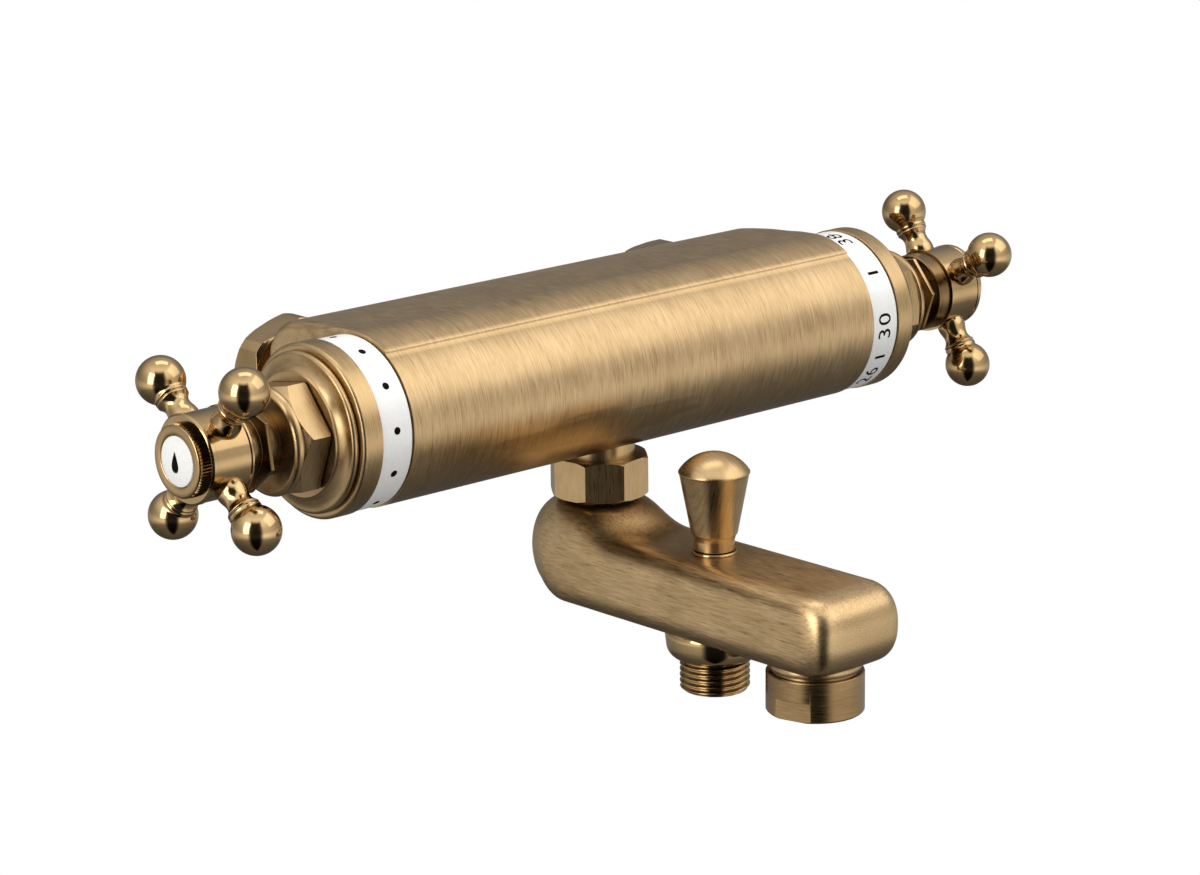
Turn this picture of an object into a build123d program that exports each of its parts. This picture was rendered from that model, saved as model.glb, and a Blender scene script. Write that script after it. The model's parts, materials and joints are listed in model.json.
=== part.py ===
"""Wall mounted bath mixer that holds a set water temperature.

X runs along the barrel, +Y points at the wall and +Z is up. The origin lies midway between the
two wall connections, on the plane where the union nuts meet the wall. All sizes are millimetres.
"""
import os
from math import asin, atan2, cos, degrees, hypot, radians, sin, tan

from build123d import *

os.makedirs("parts", exist_ok=True)

# Fits and gaps
running = 0.10          # radial play of a turning or sliding fit
seat = 0.05             # play of a piece that is screwed or pressed home
rest_gap = 0.20         # end play between pieces that move past each other
clear = 0.30            # air round a piece that turns in a hollow

# Barrel and the block behind it
inlet_spacing = 150.0
reach = 59.5            # wall plane to barrel axis
barrel_r = 25.5
body_half = 93.25       # barrel axis centre to each end face
block_rear = 41.2       # rear face of the block, behind the barrel axis
block_proud = 0.7       # step of the block over the barrel
block_edge_angle = 121.5
block_crown_end = 88.0
block_corner_r = 10.5
block_bottom = 24.9

# Printed rings and end collars
ring_width = 11.3
ring_recess = 0.4
ring_line = 0.4         # dark line beside each ring
skirt_inset = 2.0       # collar's sleeve, which carries the ring, inside the barrel's radius
spigot_wall = 1.0       # collar sleeve thickness
collar_band = 5.6
collar_length = 11.35
collar_wall = 5.5
collar_bead_r = 1.15
collar_cove = 7.3       # foot of the collar's cove inside the barrel's radius

# Decorative hexagon, gland and spindle
bonnet_flats = 30.3
bonnet_length = 6.3
bonnet_chamfer = 2.0
clamp_length = 2.9
clamp_r = 15.9
clamp_nose_r = 14.2
neck_r = 9.4
gland_neck_r = 8.8
gland_flats = 23.2
gland_plate = 1.3
gland_step = 5.4        # clamp ring to the gland's thin hexagon
spindle_r = 4.0

# Cross handles
flow_neck = 6.1         # thin hexagon to the hub at the flow end
dial_neck = 8.3         # and at the numbered end
hub_length = 14.2
hub_r = 13.0
arm_out = 6.1            # arms' plane, out from the hub's rear face
ball_centre_r = 27.2
ball_r = 7.2
arm_neck_r = 2.6
arm_collar_r = 4.6
arm_bulb_r = 3.7
arm_spigot_r = 2.0
cap_length = 2.6
cap_r = 10.4
cap_beads = 60
disc_r = 7.25
disc_dome = 0.7
flow_arm_angle = 37.8
dial_arm_angle = 58.1

# Flow headwork and its ceramic discs
headwork_r = 12.9
flow_floor = 56.0
ceramic_r = 10.9
ceramic_thickness = 3.0
seal_thickness = 1.9
foot_r = 7.0
foot_length = 4.5
head_proud = 0.45       # cartridge heads beyond the rings' outer edge

# Temperature cartridge
cartridge_r = 15.9
dial_floor = 28.0
sleeve_bore = 13.0
sleeve_length = 42.0
drive_flats = 18.0
drive_thread_r = 5.0
bulb_r = 4.5
shuttle_length = 12.0
shuttle_at = 42.0
return_wire_r = 0.8
return_coil_r = 8.5
return_turns = 5

# Wall connections
union_flats = 34.0
union_length = 10.5
union_lip = 2.4
union_corner_r = 18.6
union_thread_r = 12.06
union_relief_r = 12.4
union_relief_end = 5.0
tail_r = 10.0
tail_flange_r = 11.9
tail_flange = 1.4
tail_thread = 11.7
tail_bore_r = 8.2
washer_thickness = 2.2
valve_wall = 2.0

# Outlet below the barrel and the swivel joint
outlet_neck_r = 10.9
outlet_neck_end = -36.2
outlet_seat_z = -20.0
outlet_bore_r = 8.4
spout_nut_r = 15.4
spout_nut_top = -27.2
spout_nut_bottom = -39.4
spout_nut_lip = 1.4
spout_nut_turn = 31.6
swivel_collar_r = 10.6
swivel_collar = 1.4
swivel_tube_r = 8.3
swivel_bore_r = 4.8
o_ring_wire = 1.15

# Spout
spout_top = -41.3
bulb_centre_r = 10.2
bulb_centre_z = -57.0
bulb_reach = 11.1
bulb_rise = 16.3
cove_r = 8.0
arm_top = -48.0
arm_bottom = -72.0
arm_half_width = 17.5
spout_front = 111.0
arm_edge_r = 6.0
arm_front_r = 8.0
water_r = 5.5
water_z = -58.0
water_past = 3.0        # length of the waterway beyond the two upright bores
diverter_at = 50.0
aerator_at = 91.7

# Diverter
diverter_travel = 8.0
chamber_r = 8.0
chamber_top = -53.0
rod_r = 2.0
bush_r = 6.0
bush_flange_r = 6.8
bush_flange_top = -47.2
knob_rim_z = -23.4
knob_rim_r = 10.7
knob_dome = 5.9
knob_cone_z = -42.0
knob_cone_r = 6.9
knob_neck_r = 6.0
piston_r = 7.6
piston_seat_z = -66.0

# Outlets of the spout
shower_thread_r = 10.48
shower_thread_pitch = 1.814
shower_flange_r = 14.8
shower_flange_end = -80.0
shower_end = -90.0
shower_bore_r = 6.0
boss_r = 13.5
boss_end = -73.6
aerator_r = 14.4
aerator_top = -74.3
aerator_end = -86.6
aerator_flat = 13.3
aerator_flat_top = -80.6
aerator_flat_turn = 15.0

axis_y = -reach
ring_outer = body_half + ring_width
head_end = ring_outer + head_proud
skirt_r = barrel_r - skirt_inset
collar_foot_r = barrel_r - collar_cove
collar_face = ring_outer + collar_length
bonnet_face = collar_face + 0.5
bonnet_nose = bonnet_face + bonnet_length + bonnet_chamfer
clamp_nose = bonnet_nose + clamp_length
gland_plate_at = clamp_nose + gland_step
flow_hub_rear = gland_plate_at + gland_plate + flow_neck
dial_hub_rear = gland_plate_at + gland_plate + dial_neck
skirt_bore = skirt_r - spigot_wall
spigot_r = skirt_bore - clear
spigot_end = ring_outer - 1.0

barrel_axis = Axis((0, axis_y, 0), (1, 0, 0))
spout_axis = Axis((0, axis_y, 0), (0, 0, 1))
diverter_axis = Axis((0, axis_y - diverter_at, 0), (0, 0, 1))
aerator_axis = Axis((0, axis_y - aerator_at, 0), (0, 0, 1))


def hub_rear_of(side):
    """Rear face of a handle's hub, which stands a little further out at the numbered end."""
    return flow_hub_rear if side < 0 else dial_hub_rear


def write(piece, name):
    """Labels a finished piece and writes its file."""
    piece.part.label = name
    export_step(piece.part, f"parts/{name}.step")


def along_barrel(side):
    """Sketch plane whose x runs out along the barrel axis and whose y is the radius."""
    return Plane(origin=(0, axis_y, 0), x_dir=(side, 0, 0), z_dir=(0, -side, 0))


def across_barrel(side, out):
    """Sketch plane square to the barrel axis at a distance out from the centre."""
    return Plane(origin=(side * out, axis_y, 0), x_dir=(0, side, 0), z_dir=(side, 0, 0))


def across_angle(side, angle):
    """Turns an angle from +Y towards +Z into the angle in across_barrel's own plane."""
    return angle if side > 0 else 180 - angle


def beside(axis_x, axis_at_y):
    """Upright sketch plane through a vertical axis, with x as the radius."""
    return Plane(origin=(axis_x, axis_at_y, 0), x_dir=(1, 0, 0), z_dir=(0, -1, 0))


def along_inlet(side):
    """Sketch plane whose x runs to the wall along an inlet's axis."""
    return Plane(origin=(side * inlet_spacing / 2, 0, 0), x_dir=(0, 1, 0), z_dir=(1, 0, 0))


# The cast body: the barrel, the block behind it and the waterways
crown_r = barrel_r + block_proud
crown_start = (crown_r * cos(radians(block_edge_angle)), crown_r * sin(radians(block_edge_angle)))
crown_mid_angle = (block_edge_angle + block_crown_end) / 2
crown_mid = (crown_r * cos(radians(crown_mid_angle)), crown_r * sin(radians(crown_mid_angle)))
crown_end = (crown_r * cos(radians(block_crown_end)), crown_r * sin(radians(block_crown_end)))
roof_drop = (block_rear - crown_end[0]) / tan(radians(block_crown_end))
step_foot = tuple(0.85 * value for value in crown_start)
chamber_bore = headwork_r + seat
dial_bore = cartridge_r + seat
gallery_r = 4.5
hot_gallery_y = 24.0
dial_port_at = 40.0

with BuildPart() as mixer_body:
    with BuildSketch(across_barrel(1, -body_half)):
        Circle(barrel_r)
    extrude(amount=2 * body_half)
    with BuildSketch(across_barrel(1, -body_half)) as block_end:
        with BuildLine():
            ThreePointArc(crown_start, crown_mid, crown_end)
            Polyline(
                crown_end,
                (block_rear, crown_end[1] - roof_drop),
                (block_rear, -block_bottom),
                (0, -block_bottom),
                step_foot,
                crown_start,
            )
        make_face()
        fillet(block_end.vertices().group_by(Axis.X)[-1], block_corner_r)
    extrude(amount=2 * body_half)
    for side in (-1, 1):
        with BuildSketch(across_barrel(side, body_half)):
            Circle(spigot_r)
        extrude(amount=spigot_end - body_half)
    with BuildSketch(across_barrel(-1, flow_floor)):
        Circle(chamber_bore)
    extrude(amount=spigot_end - flow_floor, mode=Mode.SUBTRACT)
    with BuildSketch(across_barrel(1, dial_floor)):
        Circle(dial_bore)
    extrude(amount=spigot_end - dial_floor, mode=Mode.SUBTRACT)
    # Mixed water runs to the flow valve along the upper gallery and back along the lower one
    with BuildSketch(across_barrel(-1, -dial_floor)):
        with Locations((0, 7)):
            Circle(gallery_r)
    extrude(amount=dial_floor + flow_floor, mode=Mode.SUBTRACT)
    with BuildSketch(across_barrel(-1, -6)):
        with Locations((0, -7)):
            Circle(gallery_r)
    extrude(amount=flow_floor + 6, mode=Mode.SUBTRACT)
    with BuildSketch(Plane((0, axis_y, -barrel_r - 1))):
        Circle(outlet_neck_r + seat)
    extrude(amount=barrel_r + 1 + outlet_seat_z, mode=Mode.SUBTRACT)
    with BuildSketch(Plane((0, axis_y, -barrel_r - 1))):
        Circle(outlet_bore_r)
    extrude(amount=20, mode=Mode.SUBTRACT)
    # The hot gallery crosses the block to the temperature cartridge
    with BuildSketch(across_barrel(-1, -dial_port_at)):
        with Locations((-hot_gallery_y, 0)):
            Circle(gallery_r)
    extrude(amount=dial_port_at + inlet_spacing / 2, mode=Mode.SUBTRACT)
    with BuildSketch(Plane(origin=(dial_port_at, axis_y, 0), z_dir=(0, 1, 0))):
        Circle(gallery_r)
    extrude(amount=hot_gallery_y, mode=Mode.SUBTRACT)
    for side, inner in ((-1, hot_gallery_y), (1, 0)):
        with BuildSketch(Plane(origin=(side * inlet_spacing / 2, axis_y + inner, 0), z_dir=(0, 1, 0))):
            Circle(gallery_r)
        extrude(amount=block_rear - inner, mode=Mode.SUBTRACT)
        with BuildSketch(Plane(origin=(side * inlet_spacing / 2, axis_y + block_rear, 0), z_dir=(0, -1, 0))):
            Circle(tail_r + seat)
        extrude(amount=tail_thread, mode=Mode.SUBTRACT)
write(mixer_body, "mixer_body")


# Printed rings, collars, hexagons and glands at both ends
def printed_ring(side):
    start = body_half + (ring_line if side < 0 else rest_gap)
    end = ring_outer - (0 if side < 0 else ring_line)
    with BuildPart() as ring:
        with BuildSketch(across_barrel(side, start)):
            Circle(barrel_r - ring_recess)
            Circle(skirt_r + seat, mode=Mode.SUBTRACT)
        extrude(amount=end - start)
    return ring


def end_collar(side):
    band_end = ring_outer + collar_band
    bead_at = band_end + 1.2 + collar_bead_r
    bead_out = barrel_r - 2.0
    foot = collar_face - 0.6
    with BuildPart() as collar:
        with BuildSketch(along_barrel(side)):
            with BuildLine():
                Polyline(
                    (body_half + rest_gap, skirt_bore),
                    (body_half + rest_gap, skirt_r),
                    (ring_outer, skirt_r),
                    (ring_outer, barrel_r),
                    (band_end, barrel_r),
                )
                ThreePointArc(
                    (band_end, barrel_r),
                    (band_end + 0.85, barrel_r - 0.35),
                    (band_end + 1.2, barrel_r - 1.2),
                )
                Line((band_end + 1.2, barrel_r - 1.2), (band_end + 1.2, bead_out - collar_bead_r))
                ThreePointArc(
                    (band_end + 1.2, bead_out - collar_bead_r),
                    (bead_at, bead_out),
                    (bead_at + collar_bead_r, bead_out - collar_bead_r),
                )
                ThreePointArc(
                    (bead_at + collar_bead_r, bead_out - collar_bead_r),
                    (bead_at + collar_bead_r + 0.5, bead_out - collar_bead_r - 2.2),
                    (foot, collar_foot_r),
                )
                Polyline(
                    (foot, collar_foot_r),
                    (collar_face, collar_foot_r),
                    (collar_face, neck_r + seat),
                    (collar_face - collar_wall, neck_r + seat),
                    (collar_face - collar_wall, skirt_bore),
                    (body_half + rest_gap, skirt_bore),
                )
            make_face()
        revolve(axis=barrel_axis)
    return collar


def bonnet_nut(side, turn):
    corner_r = bonnet_flats / 2 / cos(radians(30))
    full = bonnet_nose - bonnet_chamfer
    with BuildPart() as bonnet:
        with BuildSketch(across_barrel(side, bonnet_face)):
            RegularPolygon(bonnet_flats / 2, 6, major_radius=False, rotation=across_angle(side, turn))
            Circle(neck_r + seat, mode=Mode.SUBTRACT)
        extrude(amount=bonnet_nose - bonnet_face)
        with BuildSketch(along_barrel(side)):
            with BuildLine():
                Polyline(
                    (bonnet_face, 0),
                    (bonnet_face, corner_r - 0.4),
                    (bonnet_face + 0.4, corner_r),
                    (full, corner_r),
                    (bonnet_nose, bonnet_flats / 2),
                    (bonnet_nose, 0),
                    close=True,
                )
            make_face()
        revolve(axis=barrel_axis, mode=Mode.INTERSECT)
        # Round clamp ring turned on the nose of the hexagon
        with BuildSketch(along_barrel(side)):
            with BuildLine():
                Polyline(
                    (clamp_nose, clamp_nose_r),
                    (clamp_nose, neck_r + seat),
                    (bonnet_nose, neck_r + seat),
                    (bonnet_nose, clamp_r - 0.6),
                    (bonnet_nose + 0.5, clamp_r),
                )
                ThreePointArc(
                    (bonnet_nose + 0.5, clamp_r),
                    (clamp_nose - 0.6, (clamp_r + clamp_nose_r) / 2 + 0.35),
                    (clamp_nose, clamp_nose_r),
                )
            make_face()
        revolve(axis=barrel_axis)
    return bonnet


def gland(side, turn):
    hub_rear = hub_rear_of(side)
    with BuildPart() as sleeve:
        with BuildSketch(along_barrel(side)):
            with BuildLine():
                Polyline(
                    (collar_face - collar_wall - 2.0, neck_r),
                    (collar_face - collar_wall, neck_r),
                    (gland_plate_at, neck_r),
                    (gland_plate_at + gland_plate, neck_r),
                    (gland_plate_at + gland_plate, gland_neck_r),
                    (hub_rear, gland_neck_r),
                    (hub_rear, spindle_r + seat),
                    (collar_face - collar_wall - 2.0, spindle_r + seat),
                    close=True,
                )
            make_face()
        revolve(axis=barrel_axis)
        with BuildSketch(across_barrel(side, gland_plate_at)):
            RegularPolygon(gland_flats / 2, 6, major_radius=False, rotation=across_angle(side, turn))
            Circle(neck_r - 1.0, mode=Mode.SUBTRACT)
        extrude(amount=gland_plate)
    return sleeve


# Cross handles: hub, four arms, knurled cap, glazed disc and fixing screw
screw_depth = 7.6
cap_spigot_r = 8.0
screw_r = 2.0


def hub(side, turn):
    hub_rear = hub_rear_of(side)
    hub_front = hub_rear + hub_length
    cap_seat = hub_front - 3.6
    screw_seat = hub_rear + screw_depth
    arm_plane = hub_rear + arm_out
    with BuildPart() as handle_hub:
        with BuildSketch(along_barrel(side)):
            with BuildLine():
                Polyline(
                    (hub_rear, spindle_r + seat),
                    (hub_rear, hub_r - 3.2),
                    (hub_rear + 0.9, hub_r - 1.2),
                    (hub_rear, hub_r - 0.6),
                    (hub_rear, hub_r + 0.2),
                    (hub_rear + 0.6, hub_r + 0.2),
                    (hub_rear + 0.9, hub_r - 0.2),
                    (hub_front - 2.0, hub_r - 0.2),
                    (hub_front - 1.8, hub_r),
                    (hub_front - 0.6, hub_r),
                    (hub_front, hub_r - 0.6),
                    (hub_front, cap_spigot_r + seat),
                    (cap_seat, cap_spigot_r + seat),
                    (cap_seat, 5.0),
                    (screw_seat, 5.0),
                    (screw_seat, spindle_r + seat),
                    close=True,
                )
            make_face()
        revolve(axis=barrel_axis)
        for quarter in range(4):
            bore = turn + 90 * quarter
            aim = (0, cos(radians(bore)), sin(radians(bore)))
            with BuildSketch(Plane(origin=(side * arm_plane, axis_y, 0), z_dir=aim).offset(hub_r - 4.0)):
                Circle(arm_spigot_r)
            extrude(amount=8.0, mode=Mode.SUBTRACT)
    return handle_hub


def arms(side, turn):
    """Four turned arms with their balls, each screwed into its hole in the hub."""
    hub_rear = hub_rear_of(side)
    arm_plane = hub_rear + arm_out
    root = hub_r - 3.7
    bulb_at = hub_r + 1.2
    collar_at = ball_centre_r - ball_r + 0.2
    ball_foot = ball_centre_r - (ball_r**2 - (arm_collar_r - 0.1) ** 2) ** 0.5
    with BuildPart() as arm_set:
        for quarter in range(4):
            angle = radians(turn + 90 * quarter)
            aim = Vector(0, cos(angle), sin(angle))
            centre = Vector(side * arm_plane, axis_y, 0)
            with BuildPart(mode=Mode.PRIVATE) as arm:
                with BuildSketch(Plane(origin=centre, x_dir=aim, z_dir=(0, -sin(angle), cos(angle)))):
                    with BuildLine():
                        Line((hub_r - 2.5, 0), (hub_r - 2.5, arm_neck_r))
                        ThreePointArc(
                            (hub_r - 2.5, arm_neck_r),
                            (bulb_at, arm_bulb_r),
                            (bulb_at + 2.5, arm_neck_r + 0.15),
                        )
                        ThreePointArc(
                            (bulb_at + 2.5, arm_neck_r + 0.15),
                            (bulb_at + 4.3, arm_neck_r + 0.3),
                            (collar_at, arm_collar_r - 0.4),
                        )
                        Polyline(
                            (collar_at, arm_collar_r - 0.4),
                            (collar_at + 0.4, arm_collar_r),
                            (collar_at + 1.1, arm_collar_r),
                            (ball_foot, arm_collar_r - 0.1),
                        )
                        ThreePointArc(
                            (ball_foot, arm_collar_r - 0.1),
                            (ball_centre_r, ball_r),
                            (ball_centre_r + ball_r, 0),
                        )
                        Line((ball_centre_r + ball_r, 0), (hub_r - 2.5, 0))
                    make_face()
                revolve(axis=Axis(centre, aim))
                with BuildSketch(across_barrel(side, hub_rear)):
                    Circle(hub_r - 0.2 + seat)
                extrude(amount=hub_length, mode=Mode.SUBTRACT)
                with BuildSketch(Plane(origin=centre, z_dir=aim).offset(root)):
                    Circle(arm_spigot_r - seat)
                extrude(amount=bulb_at - root)
            add(arm.part)
    return arm_set


def cap(side):
    hub_front = hub_rear_of(side) + hub_length
    cap_face = hub_front + cap_length
    rim_rear = hub_front + 0.3
    rim_front = cap_face - 0.5
    with BuildPart() as knurled:
        with BuildSketch(along_barrel(side)):
            with BuildLine():
                Polyline(
                    (hub_front - 2.6, 0),
                    (hub_front - 2.6, cap_spigot_r),
                    (hub_front, cap_spigot_r),
                    (hub_front, cap_r),
                    (cap_face - 0.4, cap_r),
                    (cap_face, cap_r - 0.4),
                    (cap_face, disc_r + seat),
                    (cap_face - 1.2, disc_r + seat),
                    (cap_face - 1.2, 0),
                    close=True,
                )
            make_face()
        revolve(axis=barrel_axis)
        with BuildSketch(across_barrel(side, rim_rear)):
            with PolarLocations(cap_r, cap_beads):
                RegularPolygon(0.5, 4)
        extrude(amount=rim_front - rim_rear)
    return knurled


def cap_disc(side):
    cap_face = hub_rear_of(side) + hub_length + cap_length
    floor = cap_face - 1.2 + seat
    rim = cap_face + 0.1
    dome_r = (disc_r**2 + disc_dome**2) / 2 / disc_dome
    half_way = disc_dome - dome_r + (dome_r**2 - disc_r**2 / 4) ** 0.5
    with BuildPart() as disc:
        with BuildSketch(along_barrel(side)):
            with BuildLine():
                Polyline((floor, 0), (floor, disc_r), (rim, disc_r))
                ThreePointArc((rim, disc_r), (rim + half_way, disc_r / 2), (rim + disc_dome, 0))
                Line((rim + disc_dome, 0), (floor, 0))
            make_face()
        revolve(axis=barrel_axis)
    return disc


def hub_screw(side):
    screw_seat = hub_rear_of(side) + screw_depth
    with BuildPart() as screw:
        with BuildSketch(along_barrel(side)):
            with BuildLine():
                Polyline(
                    (screw_seat - 9.0, 0),
                    (screw_seat - 9.0, screw_r),
                    (screw_seat, screw_r),
                    (screw_seat, 4.4),
                    (screw_seat + 2.2, 4.4),
                    (screw_seat + 2.2, 0),
                    close=True,
                )
            make_face()
        revolve(axis=barrel_axis)
        with BuildSketch(across_barrel(side, screw_seat + 2.2)):
            Rectangle(9.0, 1.0)
        extrude(amount=-1.0, mode=Mode.SUBTRACT)
    return screw


ends = (
    (-1, "flow", flow_arm_angle, 170.3, 140.5),
    (1, "temperature", dial_arm_angle, 137.0, 169.7),
)
for side, control, arm_turn, bonnet_turn, gland_turn in ends:
    write(printed_ring(side), f"{control}_ring")
    write(end_collar(side), f"{control}_collar")
    write(bonnet_nut(side, bonnet_turn), f"{control}_bonnet_nut")
    write(gland(side, gland_turn), f"{control}_gland")
    write(hub(side, arm_turn), f"{control}_handle_hub")
    write(arms(side, arm_turn), f"{control}_handle_arms")
    write(cap(side), f"{control}_handle_cap")
    write(cap_disc(side), f"{control}_cap_disc")
    write(hub_screw(side), f"{control}_handle_screw")


# Flow headwork: brass housing, spindle and two ceramic discs
fixed_disc_at = flow_floor + seal_thickness + 0.1
moving_disc_at = fixed_disc_at + ceramic_thickness + 0.1
foot_at = moving_disc_at + ceramic_thickness + 0.5
ceiling_at = foot_at + foot_length + rest_gap
port_r = 3.2
port_out = 6.2
screw_seat = flow_hub_rear + screw_depth
spindle_end = screw_seat - 0.4

with BuildPart() as flow_disc_seal:
    with BuildSketch(across_barrel(-1, flow_floor + seat)):
        Circle(ceramic_r)
        with Locations((0, port_out), (0, -port_out)):
            Circle(port_r + 0.4, mode=Mode.SUBTRACT)
    extrude(amount=seal_thickness)
write(flow_disc_seal, "flow_disc_seal")

with BuildPart() as flow_fixed_disc:
    with BuildSketch(across_barrel(-1, fixed_disc_at)):
        Circle(ceramic_r)
        with Locations((0, port_out), (0, -port_out)):
            Circle(port_r, mode=Mode.SUBTRACT)
    extrude(amount=ceramic_thickness)
write(flow_fixed_disc, "flow_fixed_disc")

with BuildPart() as flow_moving_disc:
    with BuildSketch(across_barrel(-1, moving_disc_at)):
        Circle(ceramic_r - clear)
    extrude(amount=ceramic_thickness + 0.4)
    # The pocket joins the two ports when the disc is turned onto them
    with BuildSketch(across_barrel(-1, moving_disc_at)):
        SlotCenterToCenter(2 * port_out, 2 * port_r - 0.6)
    extrude(amount=ceramic_thickness - 1.0, mode=Mode.SUBTRACT)
write(flow_moving_disc, "flow_moving_disc")

with BuildPart() as flow_spindle:
    with BuildSketch(along_barrel(-1)):
        with BuildLine():
            Polyline(
                (foot_at, 0),
                (foot_at, foot_r),
                (foot_at + foot_length, foot_r),
                (foot_at + foot_length, spindle_r),
                (spindle_end, spindle_r),
                (spindle_end, screw_r + seat),
                (screw_seat - 9.4, screw_r + seat),
                (screw_seat - 9.4, 0),
                close=True,
            )
        make_face()
    revolve(axis=barrel_axis)
write(flow_spindle, "flow_spindle")

with BuildPart() as flow_headwork:
    with BuildSketch(along_barrel(-1)):
        with BuildLine():
            Polyline(
                (flow_floor + 1.0, ceramic_r + running),
                (flow_floor + 1.0, headwork_r),
                (head_end, headwork_r),
                (head_end, spindle_r + running),
                (ceiling_at, spindle_r + running),
                (ceiling_at, ceramic_r + running),
                close=True,
            )
        make_face()
    revolve(axis=barrel_axis)
    with BuildSketch(across_barrel(-1, head_end - 3.0)):
        Circle(headwork_r + 1)
        RegularPolygon(headwork_r - 0.9, 6, major_radius=False, mode=Mode.SUBTRACT)
    extrude(amount=3.0, mode=Mode.SUBTRACT)
write(flow_headwork, "flow_headwork")


# Temperature cartridge: sleeve, head, spindle, drive nut, wax element and shuttle
sleeve_end = dial_floor + sleeve_length
ceiling_dial = sleeve_end + 22.0
thread_start = sleeve_end + 8.0
nut_start = sleeve_end + 6.0
nut_end = nut_start + 10.0
cup_r = 7.6
cup_start = sleeve_end - 8.0
flange_at = shuttle_at + 4.0
pin_r = 1.8
pin_head = 2.4

with BuildPart() as mixing_sleeve:
    with BuildSketch(along_barrel(1)):
        with BuildLine():
            Polyline(
                (dial_floor + seat, 6.5),
                (dial_floor + seat, cartridge_r),
                (sleeve_end, cartridge_r),
                (sleeve_end, sleeve_bore),
                (dial_floor + 2.0, sleeve_bore),
                (dial_floor + 2.0, 6.5),
                close=True,
            )
        make_face()
    revolve(axis=barrel_axis)
    for port_at in (dial_port_at, dial_port_at + 17.0):
        for quarter in range(4):
            angle = radians(45 + 90 * quarter)
            aim = (0, cos(angle), sin(angle))
            with BuildSketch(Plane(origin=(port_at, axis_y, 0), z_dir=aim)):
                Circle(3.0)
            extrude(amount=cartridge_r + 1, mode=Mode.SUBTRACT)
write(mixing_sleeve, "mixing_sleeve")

with BuildPart() as temperature_head:
    with BuildSketch(across_barrel(1, sleeve_end + seat)):
        Circle(cartridge_r)
    extrude(amount=head_end - sleeve_end - seat)
    with BuildSketch(across_barrel(1, sleeve_end)):
        RegularPolygon(drive_flats / 2 + rest_gap, 6, major_radius=False)
    extrude(amount=ceiling_dial - sleeve_end, mode=Mode.SUBTRACT)
    with BuildSketch(across_barrel(1, ceiling_dial - 1)):
        Circle(spindle_r + running)
    extrude(amount=head_end - ceiling_dial + 2, mode=Mode.SUBTRACT)
write(temperature_head, "temperature_head")

screw_seat = dial_hub_rear + screw_depth
spindle_end = screw_seat - 0.4
with BuildPart() as temperature_spindle:
    with BuildSketch(along_barrel(1)):
        with BuildLine():
            Polyline(
                (thread_start, 0),
                (thread_start, drive_thread_r),
                (ceiling_dial - rest_gap - 2.0, drive_thread_r),
                (ceiling_dial - rest_gap - 2.0, foot_r + 0.5),
                (ceiling_dial - rest_gap, foot_r + 0.5),
                (ceiling_dial - rest_gap, spindle_r),
                (spindle_end, spindle_r),
                (spindle_end, screw_r + seat),
                (screw_seat - 9.4, screw_r + seat),
                (screw_seat - 9.4, 0),
                close=True,
            )
        make_face()
    revolve(axis=barrel_axis)
write(temperature_spindle, "temperature_spindle")

with BuildPart() as drive_nut:
    with BuildSketch(across_barrel(1, cup_start)):
        RegularPolygon(drive_flats / 2, 6, major_radius=False)
    extrude(amount=nut_end - cup_start)
    with BuildSketch(across_barrel(1, cup_start)):
        Circle(drive_thread_r + running)
    extrude(amount=nut_end - cup_start, mode=Mode.SUBTRACT)
    with BuildSketch(across_barrel(1, cup_start)):
        Circle(cup_r)
    extrude(amount=nut_start - cup_start, mode=Mode.SUBTRACT)
write(drive_nut, "drive_nut")

with BuildPart() as overload_spring:
    # Stack of cupped spring washers, nose to nose and rim to rim
    pair = (nut_start - cup_start - pin_head - 2 * 0.15) / 4
    washer = pair / 2 - 0.3
    for step in range(4):
        low = cup_start + pin_head + 0.15 + step * pair
        up, down = (low, low + pair / 2) if step % 2 == 0 else (low + pair / 2, low)
        with BuildSketch(along_barrel(1)):
            with BuildLine():
                Polyline(
                    (up, 3.2),
                    (down, cup_r - 0.3),
                    (down + washer, cup_r - 0.3),
                    (up + washer, 3.2),
                    close=True,
                )
            make_face()
        revolve(axis=barrel_axis)
write(overload_spring, "overload_spring")

with BuildPart() as element_pin:
    with BuildSketch(along_barrel(1)):
        with BuildLine():
            Polyline(
                (flange_at + 6.0, 0),
                (flange_at + 6.0, pin_r),
                (cup_start + 0.4, pin_r),
                (cup_start + 0.4, cup_r - 0.4),
                (cup_start + pin_head, cup_r - 0.4),
                (cup_start + pin_head, 2.8),
                (cup_start + 5.0, 2.8),
                (cup_start + 5.0, 0),
                close=True,
            )
        make_face()
    revolve(axis=barrel_axis)
write(element_pin, "element_pin")

with BuildPart() as wax_element:
    with BuildSketch(along_barrel(1)):
        with BuildLine():
            Polyline(
                (dial_floor + 5.0, 0),
                (dial_floor + 5.0, bulb_r - 1.0),
                (dial_floor + 6.0, bulb_r),
                (flange_at, bulb_r),
                (flange_at, foot_r + 1.0),
                (flange_at + 2.5, foot_r + 1.0),
                (flange_at + 4.0, 3.4),
                (flange_at + 12.0, 3.4),
                (flange_at + 12.0, pin_r + seat),
                (flange_at + 5.8, pin_r + seat),
                (flange_at + 5.8, 0),
                close=True,
            )
        make_face()
    revolve(axis=barrel_axis)
write(wax_element, "wax_element")

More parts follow.
